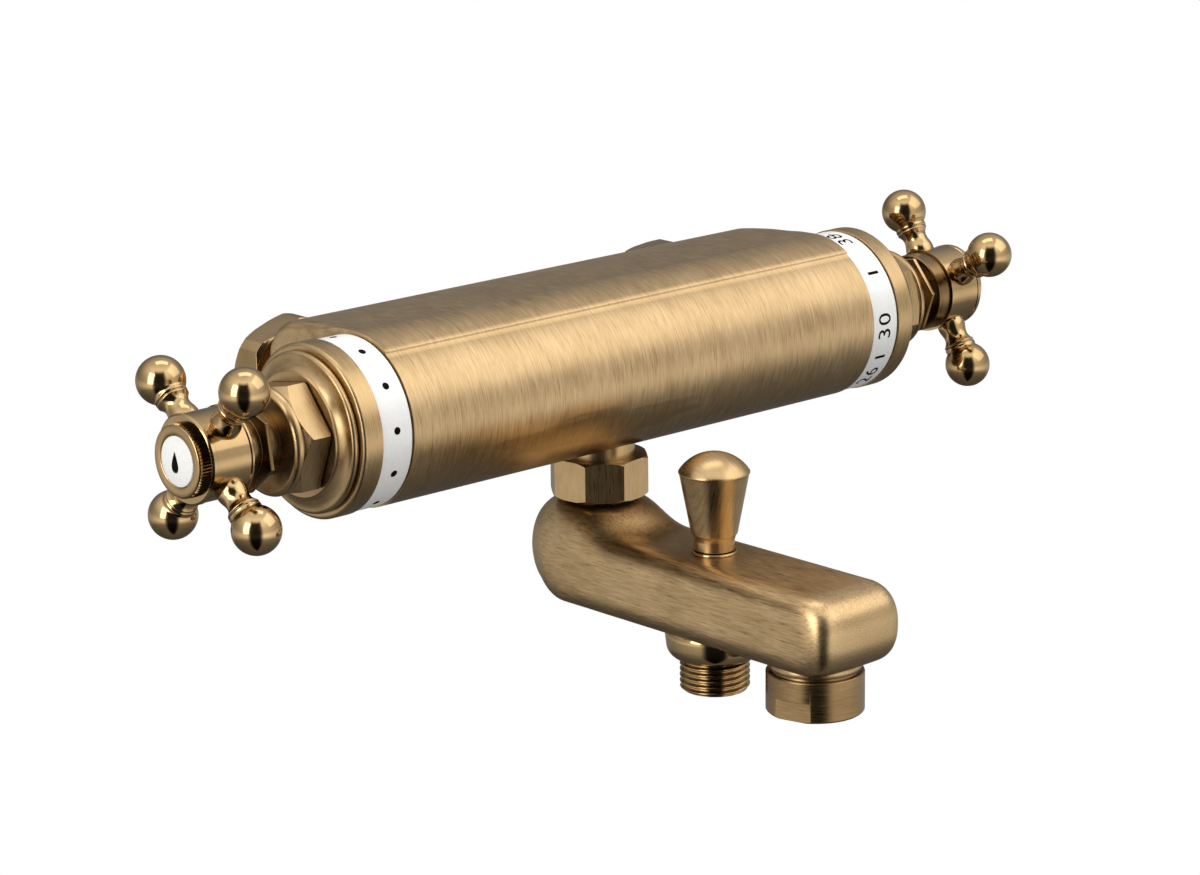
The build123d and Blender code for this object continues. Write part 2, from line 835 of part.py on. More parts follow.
with BuildPart() as mixing_shuttle:
    with BuildSketch(along_barrel(1)):
        with BuildLine():
            Polyline(
                (shuttle_at, sleeve_bore - 2.4),
                (shuttle_at, sleeve_bore - running),
                (shuttle_at + shuttle_length, sleeve_bore - running),
                (shuttle_at + shuttle_length, sleeve_bore - 2.4),
                (flange_at, sleeve_bore - 2.4),
                (flange_at, bulb_r + seat),
                (flange_at - 2.0, bulb_r + seat),
                (flange_at - 2.0, sleeve_bore - 2.4),
                close=True,
            )
        make_face()
    revolve(axis=barrel_axis)
    with BuildSketch(across_barrel(1, flange_at - 3.0)):
        with PolarLocations(7.7, 6):
            Circle(1.6)
    extrude(amount=4.0, mode=Mode.SUBTRACT)
write(mixing_shuttle, "mixing_shuttle")

# The spring rides with the shuttle, so its free end keeps the shuttle's travel from the sleeve
shuttle_room = 1.6
return_start = dial_floor + 2.0 + return_wire_r + shuttle_room
return_length = flange_at - 2.0 - return_wire_r - return_start
with BuildPart() as return_spring:
    with BuildLine() as return_coil:
        Helix(
            pitch=return_length / return_turns,
            height=return_length,
            radius=return_coil_r,
            center=(return_start, axis_y, 0),
            direction=(1, 0, 0),
        )
    with BuildSketch(Plane(origin=return_coil.line @ 0, z_dir=return_coil.line % 0)):
        RegularPolygon(return_wire_r, 6)
    sweep()
write(return_spring, "return_spring")


# Wall connections: tails, union nuts, washers, gauzes and check valves
lip_r = tail_r + clear
tail_rear = block_rear - reach
flange_start = -union_length + union_lip + rest_gap
valve_seat = flange_start - 1.2
valve_start = valve_seat - 11.0
valve_bore = 5.2
poppet_r = 6.2
stem_r = 1.2


def union_nut(side):
    with BuildPart() as nut:
        with BuildSketch(Plane(origin=(side * inlet_spacing / 2, -union_length, 0), z_dir=(0, 1, 0))):
            RegularPolygon(union_flats / 2, 6, major_radius=False, rotation=10 if side < 0 else 24)
        extrude(amount=union_length)
        with BuildSketch(along_inlet(side)):
            with BuildLine():
                Polyline(
                    (-union_length, lip_r),
                    (-union_length, union_flats / 2 + 0.2),
                    (-union_length + 1.2, union_corner_r),
                    (-1.2, union_corner_r),
                    (0, union_flats / 2 + 0.2),
                    (0, union_thread_r),
                    (-union_relief_end, union_thread_r),
                    (-union_relief_end, union_relief_r),
                    (-union_length + union_lip, union_relief_r),
                    (-union_length + union_lip, lip_r),
                    close=True,
                )
            make_face()
        revolve(axis=Axis((side * inlet_spacing / 2, 0, 0), (0, 1, 0)), mode=Mode.INTERSECT)
    return nut


def inlet_tail(side):
    with BuildPart() as tail:
        with BuildSketch(along_inlet(side)):
            with BuildLine():
                Polyline(
                    (tail_rear - tail_thread + 0.3, tail_bore_r),
                    (tail_rear - tail_thread + 0.3, tail_r),
                    (flange_start, tail_r),
                    (flange_start, tail_flange_r),
                    (flange_start + tail_flange, tail_flange_r),
                    (flange_start + tail_flange, tail_bore_r),
                    close=True,
                )
            make_face()
        revolve(axis=Axis((side * inlet_spacing / 2, 0, 0), (0, 1, 0)))
    return tail


def seal_washer(side):
    start = flange_start + tail_flange + 0.05
    with BuildPart() as washer:
        with BuildSketch(Plane(origin=(side * inlet_spacing / 2, start, 0), z_dir=(0, 1, 0))):
            Circle(tail_flange_r)
            Circle(tail_bore_r + 0.3, mode=Mode.SUBTRACT)
        extrude(amount=-union_relief_end - start)
    return washer


def inlet_gauze(side):
    start = flange_start + tail_flange + 0.1
    with BuildPart() as gauze:
        with BuildSketch(Plane(origin=(side * inlet_spacing / 2, start, 0), z_dir=(0, 1, 0))):
            Circle(tail_bore_r + 0.25)
            with HexLocations(1.5, 5, 5):
                Circle(0.9, mode=Mode.SUBTRACT)
        extrude(amount=0.6)
    return gauze


def check_valve(side):
    with BuildPart() as cage:
        with BuildSketch(along_inlet(side)):
            with BuildLine():
                Polyline(
                    (valve_start, tail_bore_r - seat - 1.3),
                    (valve_start, tail_bore_r - seat),
                    (valve_seat + valve_wall, tail_bore_r - seat),
                    (valve_seat + valve_wall, valve_bore),
                    (valve_seat, valve_bore),
                    (valve_seat, tail_bore_r - seat - 1.3),
                    close=True,
                )
            make_face()
        revolve(axis=Axis((side * inlet_spacing / 2, 0, 0), (0, 1, 0)))
        with BuildSketch(Plane(origin=(side * inlet_spacing / 2, valve_start, 0), z_dir=(0, 1, 0))):
            Rectangle(2 * tail_bore_r - 2.0, 2.2)
            Rectangle(2.2, 2 * tail_bore_r - 2.0)
            Circle(stem_r + 1.2)
            Circle(stem_r + running, mode=Mode.SUBTRACT)
        extrude(amount=1.6)
    return cage


def check_poppet(side):
    with BuildPart() as poppet:
        with BuildSketch(along_inlet(side)):
            with BuildLine():
                Polyline(
                    (valve_start - 0.6, 0),
                    (valve_start - 0.6, stem_r),
                    (valve_seat - 2.2, stem_r),
                    (valve_seat - 1.7, poppet_r),
                    (valve_seat - 0.1, poppet_r),
                    (valve_seat - 0.1, 0),
                    close=True,
                )
            make_face()
        revolve(axis=Axis((side * inlet_spacing / 2, 0, 0), (0, 1, 0)))
    return poppet


for side, water in ((-1, "hot"), (1, "cold")):
    write(union_nut(side), f"{water}_union_nut")
    write(inlet_tail(side), f"{water}_inlet_tail")
    write(seal_washer(side), f"{water}_washer")
    write(inlet_gauze(side), f"{water}_gauze")
    write(check_valve(side), f"{water}_check_valve")
    write(check_poppet(side), f"{water}_check_poppet")


# Outlet nipple, spout nut and the tail the spout swings on
with BuildPart() as outlet_nipple:
    with BuildSketch(beside(0, axis_y)):
        with Locations(((outlet_neck_r + outlet_bore_r) / 2, (outlet_neck_end + outlet_seat_z - 0.1) / 2)):
            Rectangle(outlet_neck_r - outlet_bore_r, outlet_seat_z - 0.1 - outlet_neck_end)
    revolve(axis=spout_axis)
write(outlet_nipple, "outlet_nipple")

nut_floor = spout_nut_bottom + spout_nut_lip
with BuildPart() as spout_nut:
    with BuildSketch(Plane((0, axis_y, spout_nut_bottom))):
        RegularPolygon(spout_nut_r, 8, rotation=spout_nut_turn)
    extrude(amount=spout_nut_top - spout_nut_bottom)
    with BuildSketch(beside(0, axis_y)):
        with BuildLine():
            Polyline(
                (swivel_tube_r + running, spout_nut_bottom),
                (spout_nut_r - 1.0, spout_nut_bottom),
                (spout_nut_r, spout_nut_bottom + 0.8),
                (spout_nut_r, spout_nut_top - 0.8),
                (spout_nut_r - 1.0, spout_nut_top),
                (outlet_neck_r + running, spout_nut_top),
                (outlet_neck_r + running, nut_floor),
                (swivel_tube_r + running, nut_floor),
                close=True,
            )
        make_face()
    revolve(axis=spout_axis, mode=Mode.INTERSECT)
write(spout_nut, "spout_nut")

tail_top = -30.0
tail_end = -50.0
groove_top = -32.0
groove_bottom = groove_top - 2 * o_ring_wire - 0.2
groove_r = 6.0
tail_head_r = outlet_bore_r - 0.4
with BuildPart() as spout_tail:
    with BuildSketch(beside(0, axis_y)):
        with BuildLine():
            Polyline(
                (swivel_bore_r, tail_end),
                (swivel_tube_r, tail_end),
                (swivel_tube_r, nut_floor),
                (swivel_collar_r, nut_floor),
                (swivel_collar_r, nut_floor + swivel_collar),
                (tail_head_r, nut_floor + swivel_collar),
                (tail_head_r, groove_bottom),
                (groove_r, groove_bottom),
                (groove_r, groove_top),
                (tail_head_r, groove_top),
                (tail_head_r, tail_top),
                (swivel_bore_r, tail_top),
                close=True,
            )
        make_face()
    revolve(axis=spout_axis)
write(spout_tail, "spout_tail")

with BuildPart() as spout_o_ring:
    with BuildSketch(beside(0, axis_y)):
        with Locations((groove_r + o_ring_wire + seat, (groove_top + groove_bottom) / 2)):
            Circle(o_ring_wire)
    revolve(axis=spout_axis)
write(spout_o_ring, "spout_o_ring")


# Spout: a flat sided arm, a round bulb under the nut and the cove between them
bulb_drop = bulb_centre_z - arm_bottom
mouth_angle = degrees(asin((spout_top - bulb_centre_z) / bulb_rise))


def on_bulb(angle, rise):
    """Point of the bulb's elliptical outline, as a radius and a height."""
    return (
        bulb_centre_r + bulb_reach * cos(radians(angle)),
        bulb_centre_z + rise * sin(radians(angle)),
    )


def bulb_normal(angle):
    """Outward normal of the upper outline at that point."""
    out = cos(radians(angle)) / bulb_reach
    up = sin(radians(angle)) / bulb_rise
    return out / hypot(out, up), up / hypot(out, up)


low, high = 10.0, 80.0
for _ in range(40):
    cove_angle = (low + high) / 2
    height = on_bulb(cove_angle, bulb_rise)[1] + cove_r * bulb_normal(cove_angle)[1]
    if height < arm_top + cove_r:
        low = cove_angle
    else:
        high = cove_angle
cove_start = on_bulb(cove_angle, bulb_rise)
cove_centre = (cove_start[0] + cove_r * bulb_normal(cove_angle)[0], arm_top + cove_r)
cove_end = (cove_centre[0], arm_top)
cove_turn = (atan2(cove_start[1] - cove_centre[1], cove_start[0] - cove_centre[0]) - radians(90)) / 2
cove_mid = (cove_centre[0] + cove_r * cos(cove_turn), cove_centre[1] + cove_r * sin(cove_turn))

with BuildPart() as spout_cove:
    with BuildSketch(beside(0, axis_y)):
        with BuildLine():
            Line((5, cove_start[1]), cove_start)
            ThreePointArc(cove_start, cove_mid, cove_end)
            Polyline(
                cove_end,
                (cove_end[0], arm_top - arm_edge_r),
                (5, arm_top - arm_edge_r),
                (5, cove_start[1]),
            )
        make_face()
    revolve(axis=spout_axis)
    with Locations((0, axis_y - 30, bulb_centre_z)):
        Box(2 * arm_half_width, 60, 60, mode=Mode.INTERSECT)

with BuildPart() as spout_bulb:
    with BuildSketch(beside(0, axis_y)):
        with BuildLine():
            Polyline((0, spout_top), (0, arm_bottom), (bulb_centre_r, arm_bottom))
            Spline(
                (bulb_centre_r, arm_bottom),
                on_bulb(-60, bulb_drop),
                on_bulb(-30, bulb_drop),
                on_bulb(0, bulb_drop),
                on_bulb(25, bulb_rise),
                cove_start,
                on_bulb(mouth_angle, bulb_rise),
                tangents=(
                    (1, 0),
                    (-bulb_reach * sin(radians(mouth_angle)), bulb_rise * cos(radians(mouth_angle))),
                ),
            )
            Line(on_bulb(mouth_angle, bulb_rise), (0, spout_top))
        make_face()
    revolve(axis=spout_axis)
    with Locations((0, axis_y, bulb_centre_z)):
        Box(2 * arm_half_width, 60, 60, mode=Mode.INTERSECT)

boss_hole_r = 10.95
spigot_top = -66.0
with BuildPart() as spout_body:
    with BuildSketch(Plane((0, 0, arm_bottom))) as arm_plan:
        with BuildLine():
            Line((-arm_half_width, axis_y), (-arm_half_width, axis_y - spout_front))
            ThreePointArc(
                (-arm_half_width, axis_y - spout_front),
                (0, axis_y - spout_front - 1.2),
                (arm_half_width, axis_y - spout_front),
            )
            Polyline(
                (arm_half_width, axis_y - spout_front),
                (arm_half_width, axis_y),
                (-arm_half_width, axis_y),
            )
        make_face()
        fillet(arm_plan.vertices().group_by(Axis.Y)[0], arm_front_r)
    extrude(amount=arm_top - arm_bottom)
    fillet(
        spout_body.edges().group_by(Axis.Z)[0].filter_by(lambda edge: edge.center().Y < axis_y - 1),
        arm_front_r - 0.2,
    )
    fillet(
        spout_body.edges().group_by(Axis.Z)[-1].filter_by(lambda edge: edge.center().Y < axis_y - 1),
        arm_edge_r,
    )
    add(spout_cove.part)
    add(spout_bulb.part)
    with BuildSketch(Plane((0, axis_y - aerator_at, boss_end))):
        Circle(boss_r)
    extrude(amount=arm_bottom - boss_end + 2)
    # Waterways and the seats of the tail, the diverter and the aerator
    with BuildSketch(Plane((0, axis_y, tail_end))):
        Circle(swivel_tube_r + seat)
    extrude(amount=spout_top - tail_end, mode=Mode.SUBTRACT)
    with BuildSketch(Plane((0, axis_y, water_z))):
        Circle(swivel_bore_r)
    extrude(amount=tail_end - water_z, mode=Mode.SUBTRACT)
    with BuildSketch(Plane(origin=(0, axis_y + water_past, water_z), z_dir=(0, -1, 0))):
        Circle(water_r)
    extrude(amount=aerator_at + 2 * water_past, mode=Mode.SUBTRACT)
    with BuildSketch(Plane((0, axis_y - diverter_at, arm_bottom - 1))):
        Circle(chamber_r)
    extrude(amount=chamber_top - arm_bottom + 1, mode=Mode.SUBTRACT)
    with BuildSketch(Plane((0, axis_y - diverter_at, chamber_top - 1))):
        Circle(bush_r + seat)
    extrude(amount=arm_top - chamber_top + 2, mode=Mode.SUBTRACT)
    with BuildSketch(Plane((0, axis_y - aerator_at, water_z))):
        Circle(swivel_bore_r)
    extrude(amount=spigot_top - water_z - 0.1, mode=Mode.SUBTRACT)
    with BuildSketch(Plane((0, axis_y - aerator_at, boss_end - 1))):
        Circle(boss_hole_r)
    extrude(amount=spigot_top - boss_end + 1, mode=Mode.SUBTRACT)
write(spout_body, "spout_body")


# Diverter: bush, pull knob, rod, piston, two seals and the spring
bush_pocket_r = 4.0
bush_pocket_top = -49.5
with BuildPart() as diverter_bush:
    with BuildSketch(beside(0, axis_y - diverter_at)):
        with BuildLine():
            Polyline(
                (rod_r + running, bush_flange_top),
                (bush_flange_r - 0.3, bush_flange_top),
                (bush_flange_r, bush_flange_top - 0.3),
                (bush_flange_r, arm_top),
                (bush_r, arm_top),
                (bush_r, chamber_top),
                (bush_pocket_r, chamber_top),
                (bush_pocket_r, bush_pocket_top),
                (rod_r + running, bush_pocket_top),
                close=True,
            )
        make_face()
    revolve(axis=diverter_axis)
write(diverter_bush, "diverter_bush")

knob_dome_r = (knob_rim_r**2 + knob_dome**2) / 2 / knob_dome
knob_half = knob_dome - knob_dome_r + (knob_dome_r**2 - knob_rim_r**2 / 4) ** 0.5
knob_bottom = bush_flange_top + rest_gap
rod_top = knob_bottom + 7.0
piston_low = piston_seat_z + 1.0
piston_high = piston_low + 3.0
rod_end = piston_low + 1.0
seal_r = 6.8
seal_height = 0.8
with BuildPart() as diverter_knob:
    with BuildSketch(beside(0, axis_y - diverter_at)):
        with BuildLine():
            Polyline(
                (0, rod_top),
                (rod_r + seat, rod_top),
                (rod_r + seat, knob_bottom),
                (knob_neck_r, knob_bottom),
                (knob_neck_r, knob_cone_z - 2.2),
                (knob_cone_r - 0.5, knob_cone_z - 0.6),
                (knob_cone_r, knob_cone_z),
                (knob_rim_r - 0.4, knob_rim_z - 0.8),
                (knob_rim_r, knob_rim_z),
            )
            ThreePointArc(
                (knob_rim_r, knob_rim_z),
                (knob_rim_r / 2, knob_rim_z + knob_half),
                (0, knob_rim_z + knob_dome),
            )
            Line((0, knob_rim_z + knob_dome), (0, rod_top))
        make_face()
    revolve(axis=diverter_axis)
write(diverter_knob, "diverter_knob")

with BuildPart() as diverter_rod:
    with BuildSketch(Plane((0, axis_y - diverter_at, rod_end))):
        Circle(rod_r)
    extrude(amount=rod_top - 0.1 - rod_end)
write(diverter_rod, "diverter_rod")

with BuildPart() as diverter_piston:
    with BuildSketch(Plane((0, axis_y - diverter_at, piston_low))):
        Circle(piston_r)
    extrude(amount=piston_high - piston_low)
    with BuildSketch(Plane((0, axis_y - diverter_at, rod_end))):
        Circle(rod_r + seat)
    extrude(amount=piston_high - rod_end, mode=Mode.SUBTRACT)
write(diverter_piston, "diverter_piston")

with BuildPart() as diverter_seals:
    with BuildSketch(Plane((0, axis_y - diverter_at, piston_low))):
        Circle(seal_r)
    extrude(amount=-seal_height)
    with BuildSketch(Plane((0, axis_y - diverter_at, piston_high))):
        Circle(seal_r)
        Circle(rod_r + seat, mode=Mode.SUBTRACT)
    extrude(amount=seal_height)
write(diverter_seals, "diverter_seals")

spring_wire_r = 0.35
spring_low = piston_high + seal_height + spring_wire_r
spring_high = bush_pocket_top - spring_wire_r
with BuildPart() as diverter_spring:
    with BuildLine() as spring_coil:
        Helix(
            pitch=(spring_high - spring_low) / 5,
            height=spring_high - spring_low,
            radius=3.2,
            center=(0, axis_y - diverter_at, spring_low),
        )
    with BuildSketch(Plane(origin=spring_coil.line @ 0, z_dir=spring_coil.line % 0)):
        RegularPolygon(spring_wire_r, 6)
    sweep()
write(diverter_spring, "diverter_spring")


# Shower outlet and aerator
with BuildPart() as shower_nipple:
    with BuildSketch(beside(0, axis_y - diverter_at)):
        with BuildLine():
            Polyline(
                (shower_bore_r, piston_seat_z),
                (chamber_r - seat, piston_seat_z),
                (chamber_r - seat, arm_bottom),
                (shower_flange_r, arm_bottom),
                (shower_flange_r, arm_bottom - 1.1),
                (shower_flange_r - 0.3, arm_bottom - 3.5),
            )
            ThreePointArc(
                (shower_flange_r - 0.3, arm_bottom - 3.5),
                (shower_flange_r - 1.3, arm_bottom - 6.4),
                (shower_thread_r, shower_flange_end),
            )
            Polyline(
                (shower_thread_r, shower_flange_end),
                (shower_thread_r, shower_end + 0.8),
                (shower_thread_r - 0.8, shower_end),
                (shower_bore_r, shower_end),
                (shower_bore_r, piston_seat_z),
            )
        make_face()
    revolve(axis=diverter_axis)
write(shower_nipple, "shower_nipple")

ledge_z = -78.0
shell_bore_r = 11.5
shell_neck_r = 9.0
with BuildPart() as aerator_shell:
    with BuildSketch(beside(0, axis_y - aerator_at)):
        with BuildLine():
            Polyline(
                (shell_neck_r, spigot_top - 0.1),
                (boss_hole_r - seat, spigot_top - 0.1),
                (boss_hole_r - seat, boss_end),
                (boss_r - 0.6, boss_end),
                (boss_r - 0.6, aerator_top),
                (aerator_r - 0.3, aerator_top),
                (aerator_r, aerator_top - 0.4),
                (aerator_r, aerator_end + 0.5),
                (aerator_r - 0.5, aerator_end),
                (shell_bore_r + 0.3, aerator_end),
                (shell_bore_r, aerator_end + 0.3),
                (shell_bore_r, ledge_z),
                (shell_neck_r, ledge_z),
                close=True,
            )
        make_face()
    revolve(axis=aerator_axis)
    with BuildSketch(Plane((0, axis_y - aerator_at, aerator_end))):
        Circle(aerator_r + 1)
        Rectangle(2 * aerator_flat, 4 * aerator_r, rotation=aerator_flat_turn, mode=Mode.SUBTRACT)
    extrude(amount=aerator_flat_top - aerator_end, mode=Mode.SUBTRACT)
write(aerator_shell, "aerator_shell")

with BuildPart() as aerator_insert:
    with BuildSketch(Plane((0, axis_y - aerator_at, ledge_z))):
        Circle(shell_bore_r - seat)
        with HexLocations(1.9, 5, 5):
            Circle(1.1, mode=Mode.SUBTRACT)
    extrude(amount=-7.4)
write(aerator_insert, "aerator_insert")
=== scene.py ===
import json
import math

import bmesh
import bpy
from mathutils import Matrix, Vector

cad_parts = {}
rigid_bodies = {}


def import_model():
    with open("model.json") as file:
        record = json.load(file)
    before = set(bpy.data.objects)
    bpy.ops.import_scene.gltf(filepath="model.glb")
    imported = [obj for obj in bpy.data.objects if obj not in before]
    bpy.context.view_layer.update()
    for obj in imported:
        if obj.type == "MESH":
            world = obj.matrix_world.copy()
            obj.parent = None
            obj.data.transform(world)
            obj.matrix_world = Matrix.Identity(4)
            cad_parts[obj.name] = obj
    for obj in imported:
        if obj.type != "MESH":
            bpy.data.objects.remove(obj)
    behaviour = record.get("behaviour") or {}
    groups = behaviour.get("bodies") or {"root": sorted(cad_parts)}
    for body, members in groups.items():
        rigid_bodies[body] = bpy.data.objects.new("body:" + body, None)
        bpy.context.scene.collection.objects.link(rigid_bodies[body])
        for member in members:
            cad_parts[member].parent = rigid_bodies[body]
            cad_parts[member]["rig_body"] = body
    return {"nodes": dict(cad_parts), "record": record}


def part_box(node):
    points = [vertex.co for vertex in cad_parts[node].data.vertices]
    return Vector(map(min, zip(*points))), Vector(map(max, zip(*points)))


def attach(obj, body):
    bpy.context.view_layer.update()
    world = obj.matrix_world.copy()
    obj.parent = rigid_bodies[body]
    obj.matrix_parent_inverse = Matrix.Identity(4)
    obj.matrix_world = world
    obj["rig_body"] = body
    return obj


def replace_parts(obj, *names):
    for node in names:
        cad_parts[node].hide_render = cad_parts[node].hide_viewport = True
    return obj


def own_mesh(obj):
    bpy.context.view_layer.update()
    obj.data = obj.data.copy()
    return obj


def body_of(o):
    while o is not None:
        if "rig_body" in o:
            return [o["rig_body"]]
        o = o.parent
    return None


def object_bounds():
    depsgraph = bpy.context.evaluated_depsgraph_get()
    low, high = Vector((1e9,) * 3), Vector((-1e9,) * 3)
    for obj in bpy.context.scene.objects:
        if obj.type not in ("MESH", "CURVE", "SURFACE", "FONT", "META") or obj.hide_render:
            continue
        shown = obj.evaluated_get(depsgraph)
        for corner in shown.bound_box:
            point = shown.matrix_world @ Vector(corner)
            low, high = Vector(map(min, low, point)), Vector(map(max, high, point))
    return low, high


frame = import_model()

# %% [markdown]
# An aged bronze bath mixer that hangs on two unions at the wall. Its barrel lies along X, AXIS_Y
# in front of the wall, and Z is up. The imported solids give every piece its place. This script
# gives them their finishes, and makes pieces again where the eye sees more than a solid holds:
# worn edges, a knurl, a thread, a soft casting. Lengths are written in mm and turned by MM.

MM = 0.001
AXIS_Y = -59.5 * MM
NODES = frame["nodes"]
SLOTS = {part["node"]: part["material_slot"] for part in frame["record"]["subparts"]}
cad_low, cad_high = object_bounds()
print("CAD box", [round(v, 4) for v in (*cad_low, *cad_high)])

# %% [markdown]
# A finish starts from a colour chart's hex code, which has to be made linear before light is
# worked out with it. Every material here is a small tree of nodes, so one function adds a node
# with its settings and links. A texture's scale counts cells in a metre, so that is worked out
# from the width of a stroke or a grain in mm.

# %% Colours and nodes


def rgb(code):
    """Hex code to a linear colour, with the constants of the sRGB standard."""
    parts = [int(code[i:i + 2], 16) / 255 for i in (1, 3, 5)]
    linear = [p / 12.92 if p <= 0.04045 else ((p + 0.055) / 1.055) ** 2.4 for p in parts]
    return (*linear, 1.0)


def grey(value):
    """A linear grey."""
    return (value, value, value, 1.0)


def per_metre(width):
    """How many grains of a width in mm fit in a metre."""
    return 1 / (width * MM)


def add_node(tree, kind, inputs=None, stops=(), **settings):
    """Adds a node, sets its properties, and fills its sockets with values or links.

    A colour ramp also gets its stops, each a (place, colour).
    """
    node = tree.nodes.new(kind)
    for key, value in settings.items():
        setattr(node, key, value)
    for key, value in (inputs or {}).items():
        if isinstance(value, bpy.types.NodeSocket):
            tree.links.new(value, node.inputs[key])
        else:
            node.inputs[key].default_value = value
    if stops:
        elements = node.color_ramp.elements
        while len(elements) < len(stops):
            elements.new(0.5)
        for element, (place, colour) in zip(elements, stops):
            element.position, element.color = place, colour
    return node


def new_material(name):
    """A bare material and its node tree."""
    material = bpy.data.materials.new(name)
    material.use_nodes = True
    material.node_tree.nodes.clear()
    return material, material.node_tree


print("light bronze as linear", [round(v, 3) for v in rgb("#C9AC82")[:3]])

# %% [markdown]
# A piece is a mesh that rides on one of the mixer's moving bodies. Some pieces start from a solid,
# whose triangles share no points, so a copy is merged first. That lets a bevel or a slice run on
# from face to face.

# %% Meshes and pieces
MERGE = 2e-6            # points closer than this are one, in metres
FLAT_ANGLE = 0.4        # faces that meet at less than this many degrees are one


def portion(value, start, end):
    """How far a value has come from start to end, held between 0 and 1."""
    return min(1.0, max(0.0, (value - start) / (end - start)))


def to_mesh(shape, name):
    """Turns a bmesh into a mesh and frees it."""
    mesh = bpy.data.meshes.new(name)
    shape.to_mesh(mesh)
    shape.free()
    return mesh


def new_object(name, mesh, body=None, material=None, smooth=True):
    """Links a mesh as a piece of the mixer that rides on a body."""
    thing = bpy.data.objects.new(name, mesh)
    bpy.context.scene.collection.objects.link(thing)
    for face in mesh.polygons:
        face.use_smooth = smooth
    if material:
        mesh.materials.append(material)
    if body:
        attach(thing, body)
    return thing


def merged_copy(node):
    """A solid's loose triangles as one closed bmesh, with those that lie flat together joined."""
    shape = bmesh.new()
    shape.from_mesh(node.data)
    bmesh.ops.remove_doubles(shape, verts=shape.verts, dist=MERGE)
    bmesh.ops.dissolve_limit(
        shape, angle_limit=math.radians(FLAT_ANGLE), verts=shape.verts, edges=shape.edges)
    return shape


print("nodes to dress", len(NODES))

# %% [markdown]
# A mixer is mostly turned work, so most of its pieces are an outline that bmesh spins about an
# axis. What isn't round all the way, such as a thread or a casting, is skinned: a closed loop is
# laid at each section, its points are put in place, and it is bridged to the loop before it.

# %% Turned and skinned shapes
TURNED_STEPS = 128


def lathe(name, outline, origin, axis, steps=TURNED_STEPS):
    """Mesh turned from (out, radius) points in mm about an axis through an origin in mm."""
    shape = bmesh.new()
    axis = Vector(axis)
    side = axis.orthogonal().normalized()
    start = Vector(origin)
    points = [shape.verts.new((start + axis * out + side * radius) * MM) for out, radius in outline]
    edges = [shape.edges.new(pair) for pair in zip(points, points[1:])]
    bmesh.ops.spin(
        shape, geom=points + edges, axis=axis, cent=start * MM, steps=steps,
        angle=math.tau, use_merge=True, use_duplicate=False,
    )
    bmesh.ops.remove_doubles(shape, verts=shape.verts, dist=MERGE)
    bmesh.ops.recalc_face_normals(shape, faces=shape.faces)
    return to_mesh(shape, name)


def skin(shape, rows, around, place):
    """Bridges closed loops, one for each row; place(row, turn) gives a point in mm."""
    previous = []
    for row in rows:
        loop = bmesh.ops.create_circle(shape, segments=around, radius=1.0)["verts"]
        for vertex in loop:
            vertex.co = Vector(place(row, math.atan2(vertex.co.y, vertex.co.x))) * MM
        edges = [shape.edges.get(pair) for pair in zip(loop, loop[1:] + loop[:1])]
        if previous:
            bmesh.ops.bridge_loops(shape, edges=previous + edges)
        previous = edges


print("steps round a turned piece", TURNED_STEPS)

# %% [markdown]
# A flat brown patch low on the barrel's front darkens it as a painted dark reflection. It could be painted
# on a picture, but a distance from its middle is enough, and noise makes the rim ragged.

# %% Painted dark reflection
DARK_REFLECTION_CENTRE = (-0.020, -0.085, -0.012)
DARK_REFLECTION_HALF = (0.045, 0.03, 0.006)
DARK_REFLECTION_RAGGED = 1.6
DARK_REFLECTION_SCALE = 0.55      # brings the painted reflection's rim inside the ramp
DARK_REFLECTION_STOPS = [(0.0, (0.68, 0.66, 0.60, 1)), (0.90, (0.80, 0.78, 0.72, 1)), (0.97, grey(1))]


def painted_dark_reflection(tree, place, colour):
    """Darkens a colour in a flat patch with a ragged rim, as a painted dark reflection."""
    out = add_node(
        tree, "ShaderNodeVectorMath", {0: place, 1: DARK_REFLECTION_CENTRE}, operation="SUBTRACT").outputs[0]
    out = add_node(
        tree, "ShaderNodeVectorMath", {0: out, 1: DARK_REFLECTION_HALF}, operation="DIVIDE").outputs[0]
    ragged = add_node(
        tree, "ShaderNodeTexNoise", {"Vector": out, "Scale": 1.3, "Detail": 3.0}).outputs["Fac"]
    out = add_node(tree, "ShaderNodeVectorMath", {0: out}, operation="LENGTH").outputs["Value"]
    out = add_node(
        tree, "ShaderNodeMath", {0: ragged, 1: DARK_REFLECTION_RAGGED, 2: out}, operation="MULTIPLY_ADD"
    ).outputs[0]
    out = add_node(tree, "ShaderNodeMath", {0: out, 1: DARK_REFLECTION_SCALE}, operation="MULTIPLY").outputs[0]
    shade = add_node(tree, "ShaderNodeValToRGB", {"Fac": out}, stops=DARK_REFLECTION_STOPS).outputs["Color"]
    return add_node(
        tree, "ShaderNodeMix", {0: 1.0, 6: colour, 7: shade}, data_type="RGBA", blend_type="MULTIPLY"
    ).outputs[2]


# How far the painted dark reflection reaches from its middle, in mm
print("stain reaches", [round(v / MM) for v in DARK_REFLECTION_HALF], "mm")

# %% [markdown]
# The bronze is brass that was darkened in a bath and rubbed back, so a dark patina stays in broad
# clouds and in the strokes. A picture could give that, but it would repeat and need unwrapping,
# so the strokes are noise that is drawn out along them. A belt leaves strokes 0.05 to 0.1 mm wide.
# The render can't show those, so they are drawn 0.38 mm wide. The noise also moves the roughness,
# which blurs what the metal mirrors, and gives a faint bump.

# %% Bronze shader
STROKE = 0.3846         # mm across, four times as coarse as the belt's
CLOUD = 16.67           # mm, a patch of patina
CLOUD_SHARE = 0.3
COLOUR_SPREAD = 0.2
STROKE_HEIGHT = 0.05 * MM
STROKE_BUMP, POLISHED_BUMP, STRONG_GRAIN = 0.12, 0.03, 0.3
NOISE_LOW, NOISE_HIGH = 0.3, 0.7
FLECK_STOPS = [(0.30, grey(0)), (0.40, grey(1))]


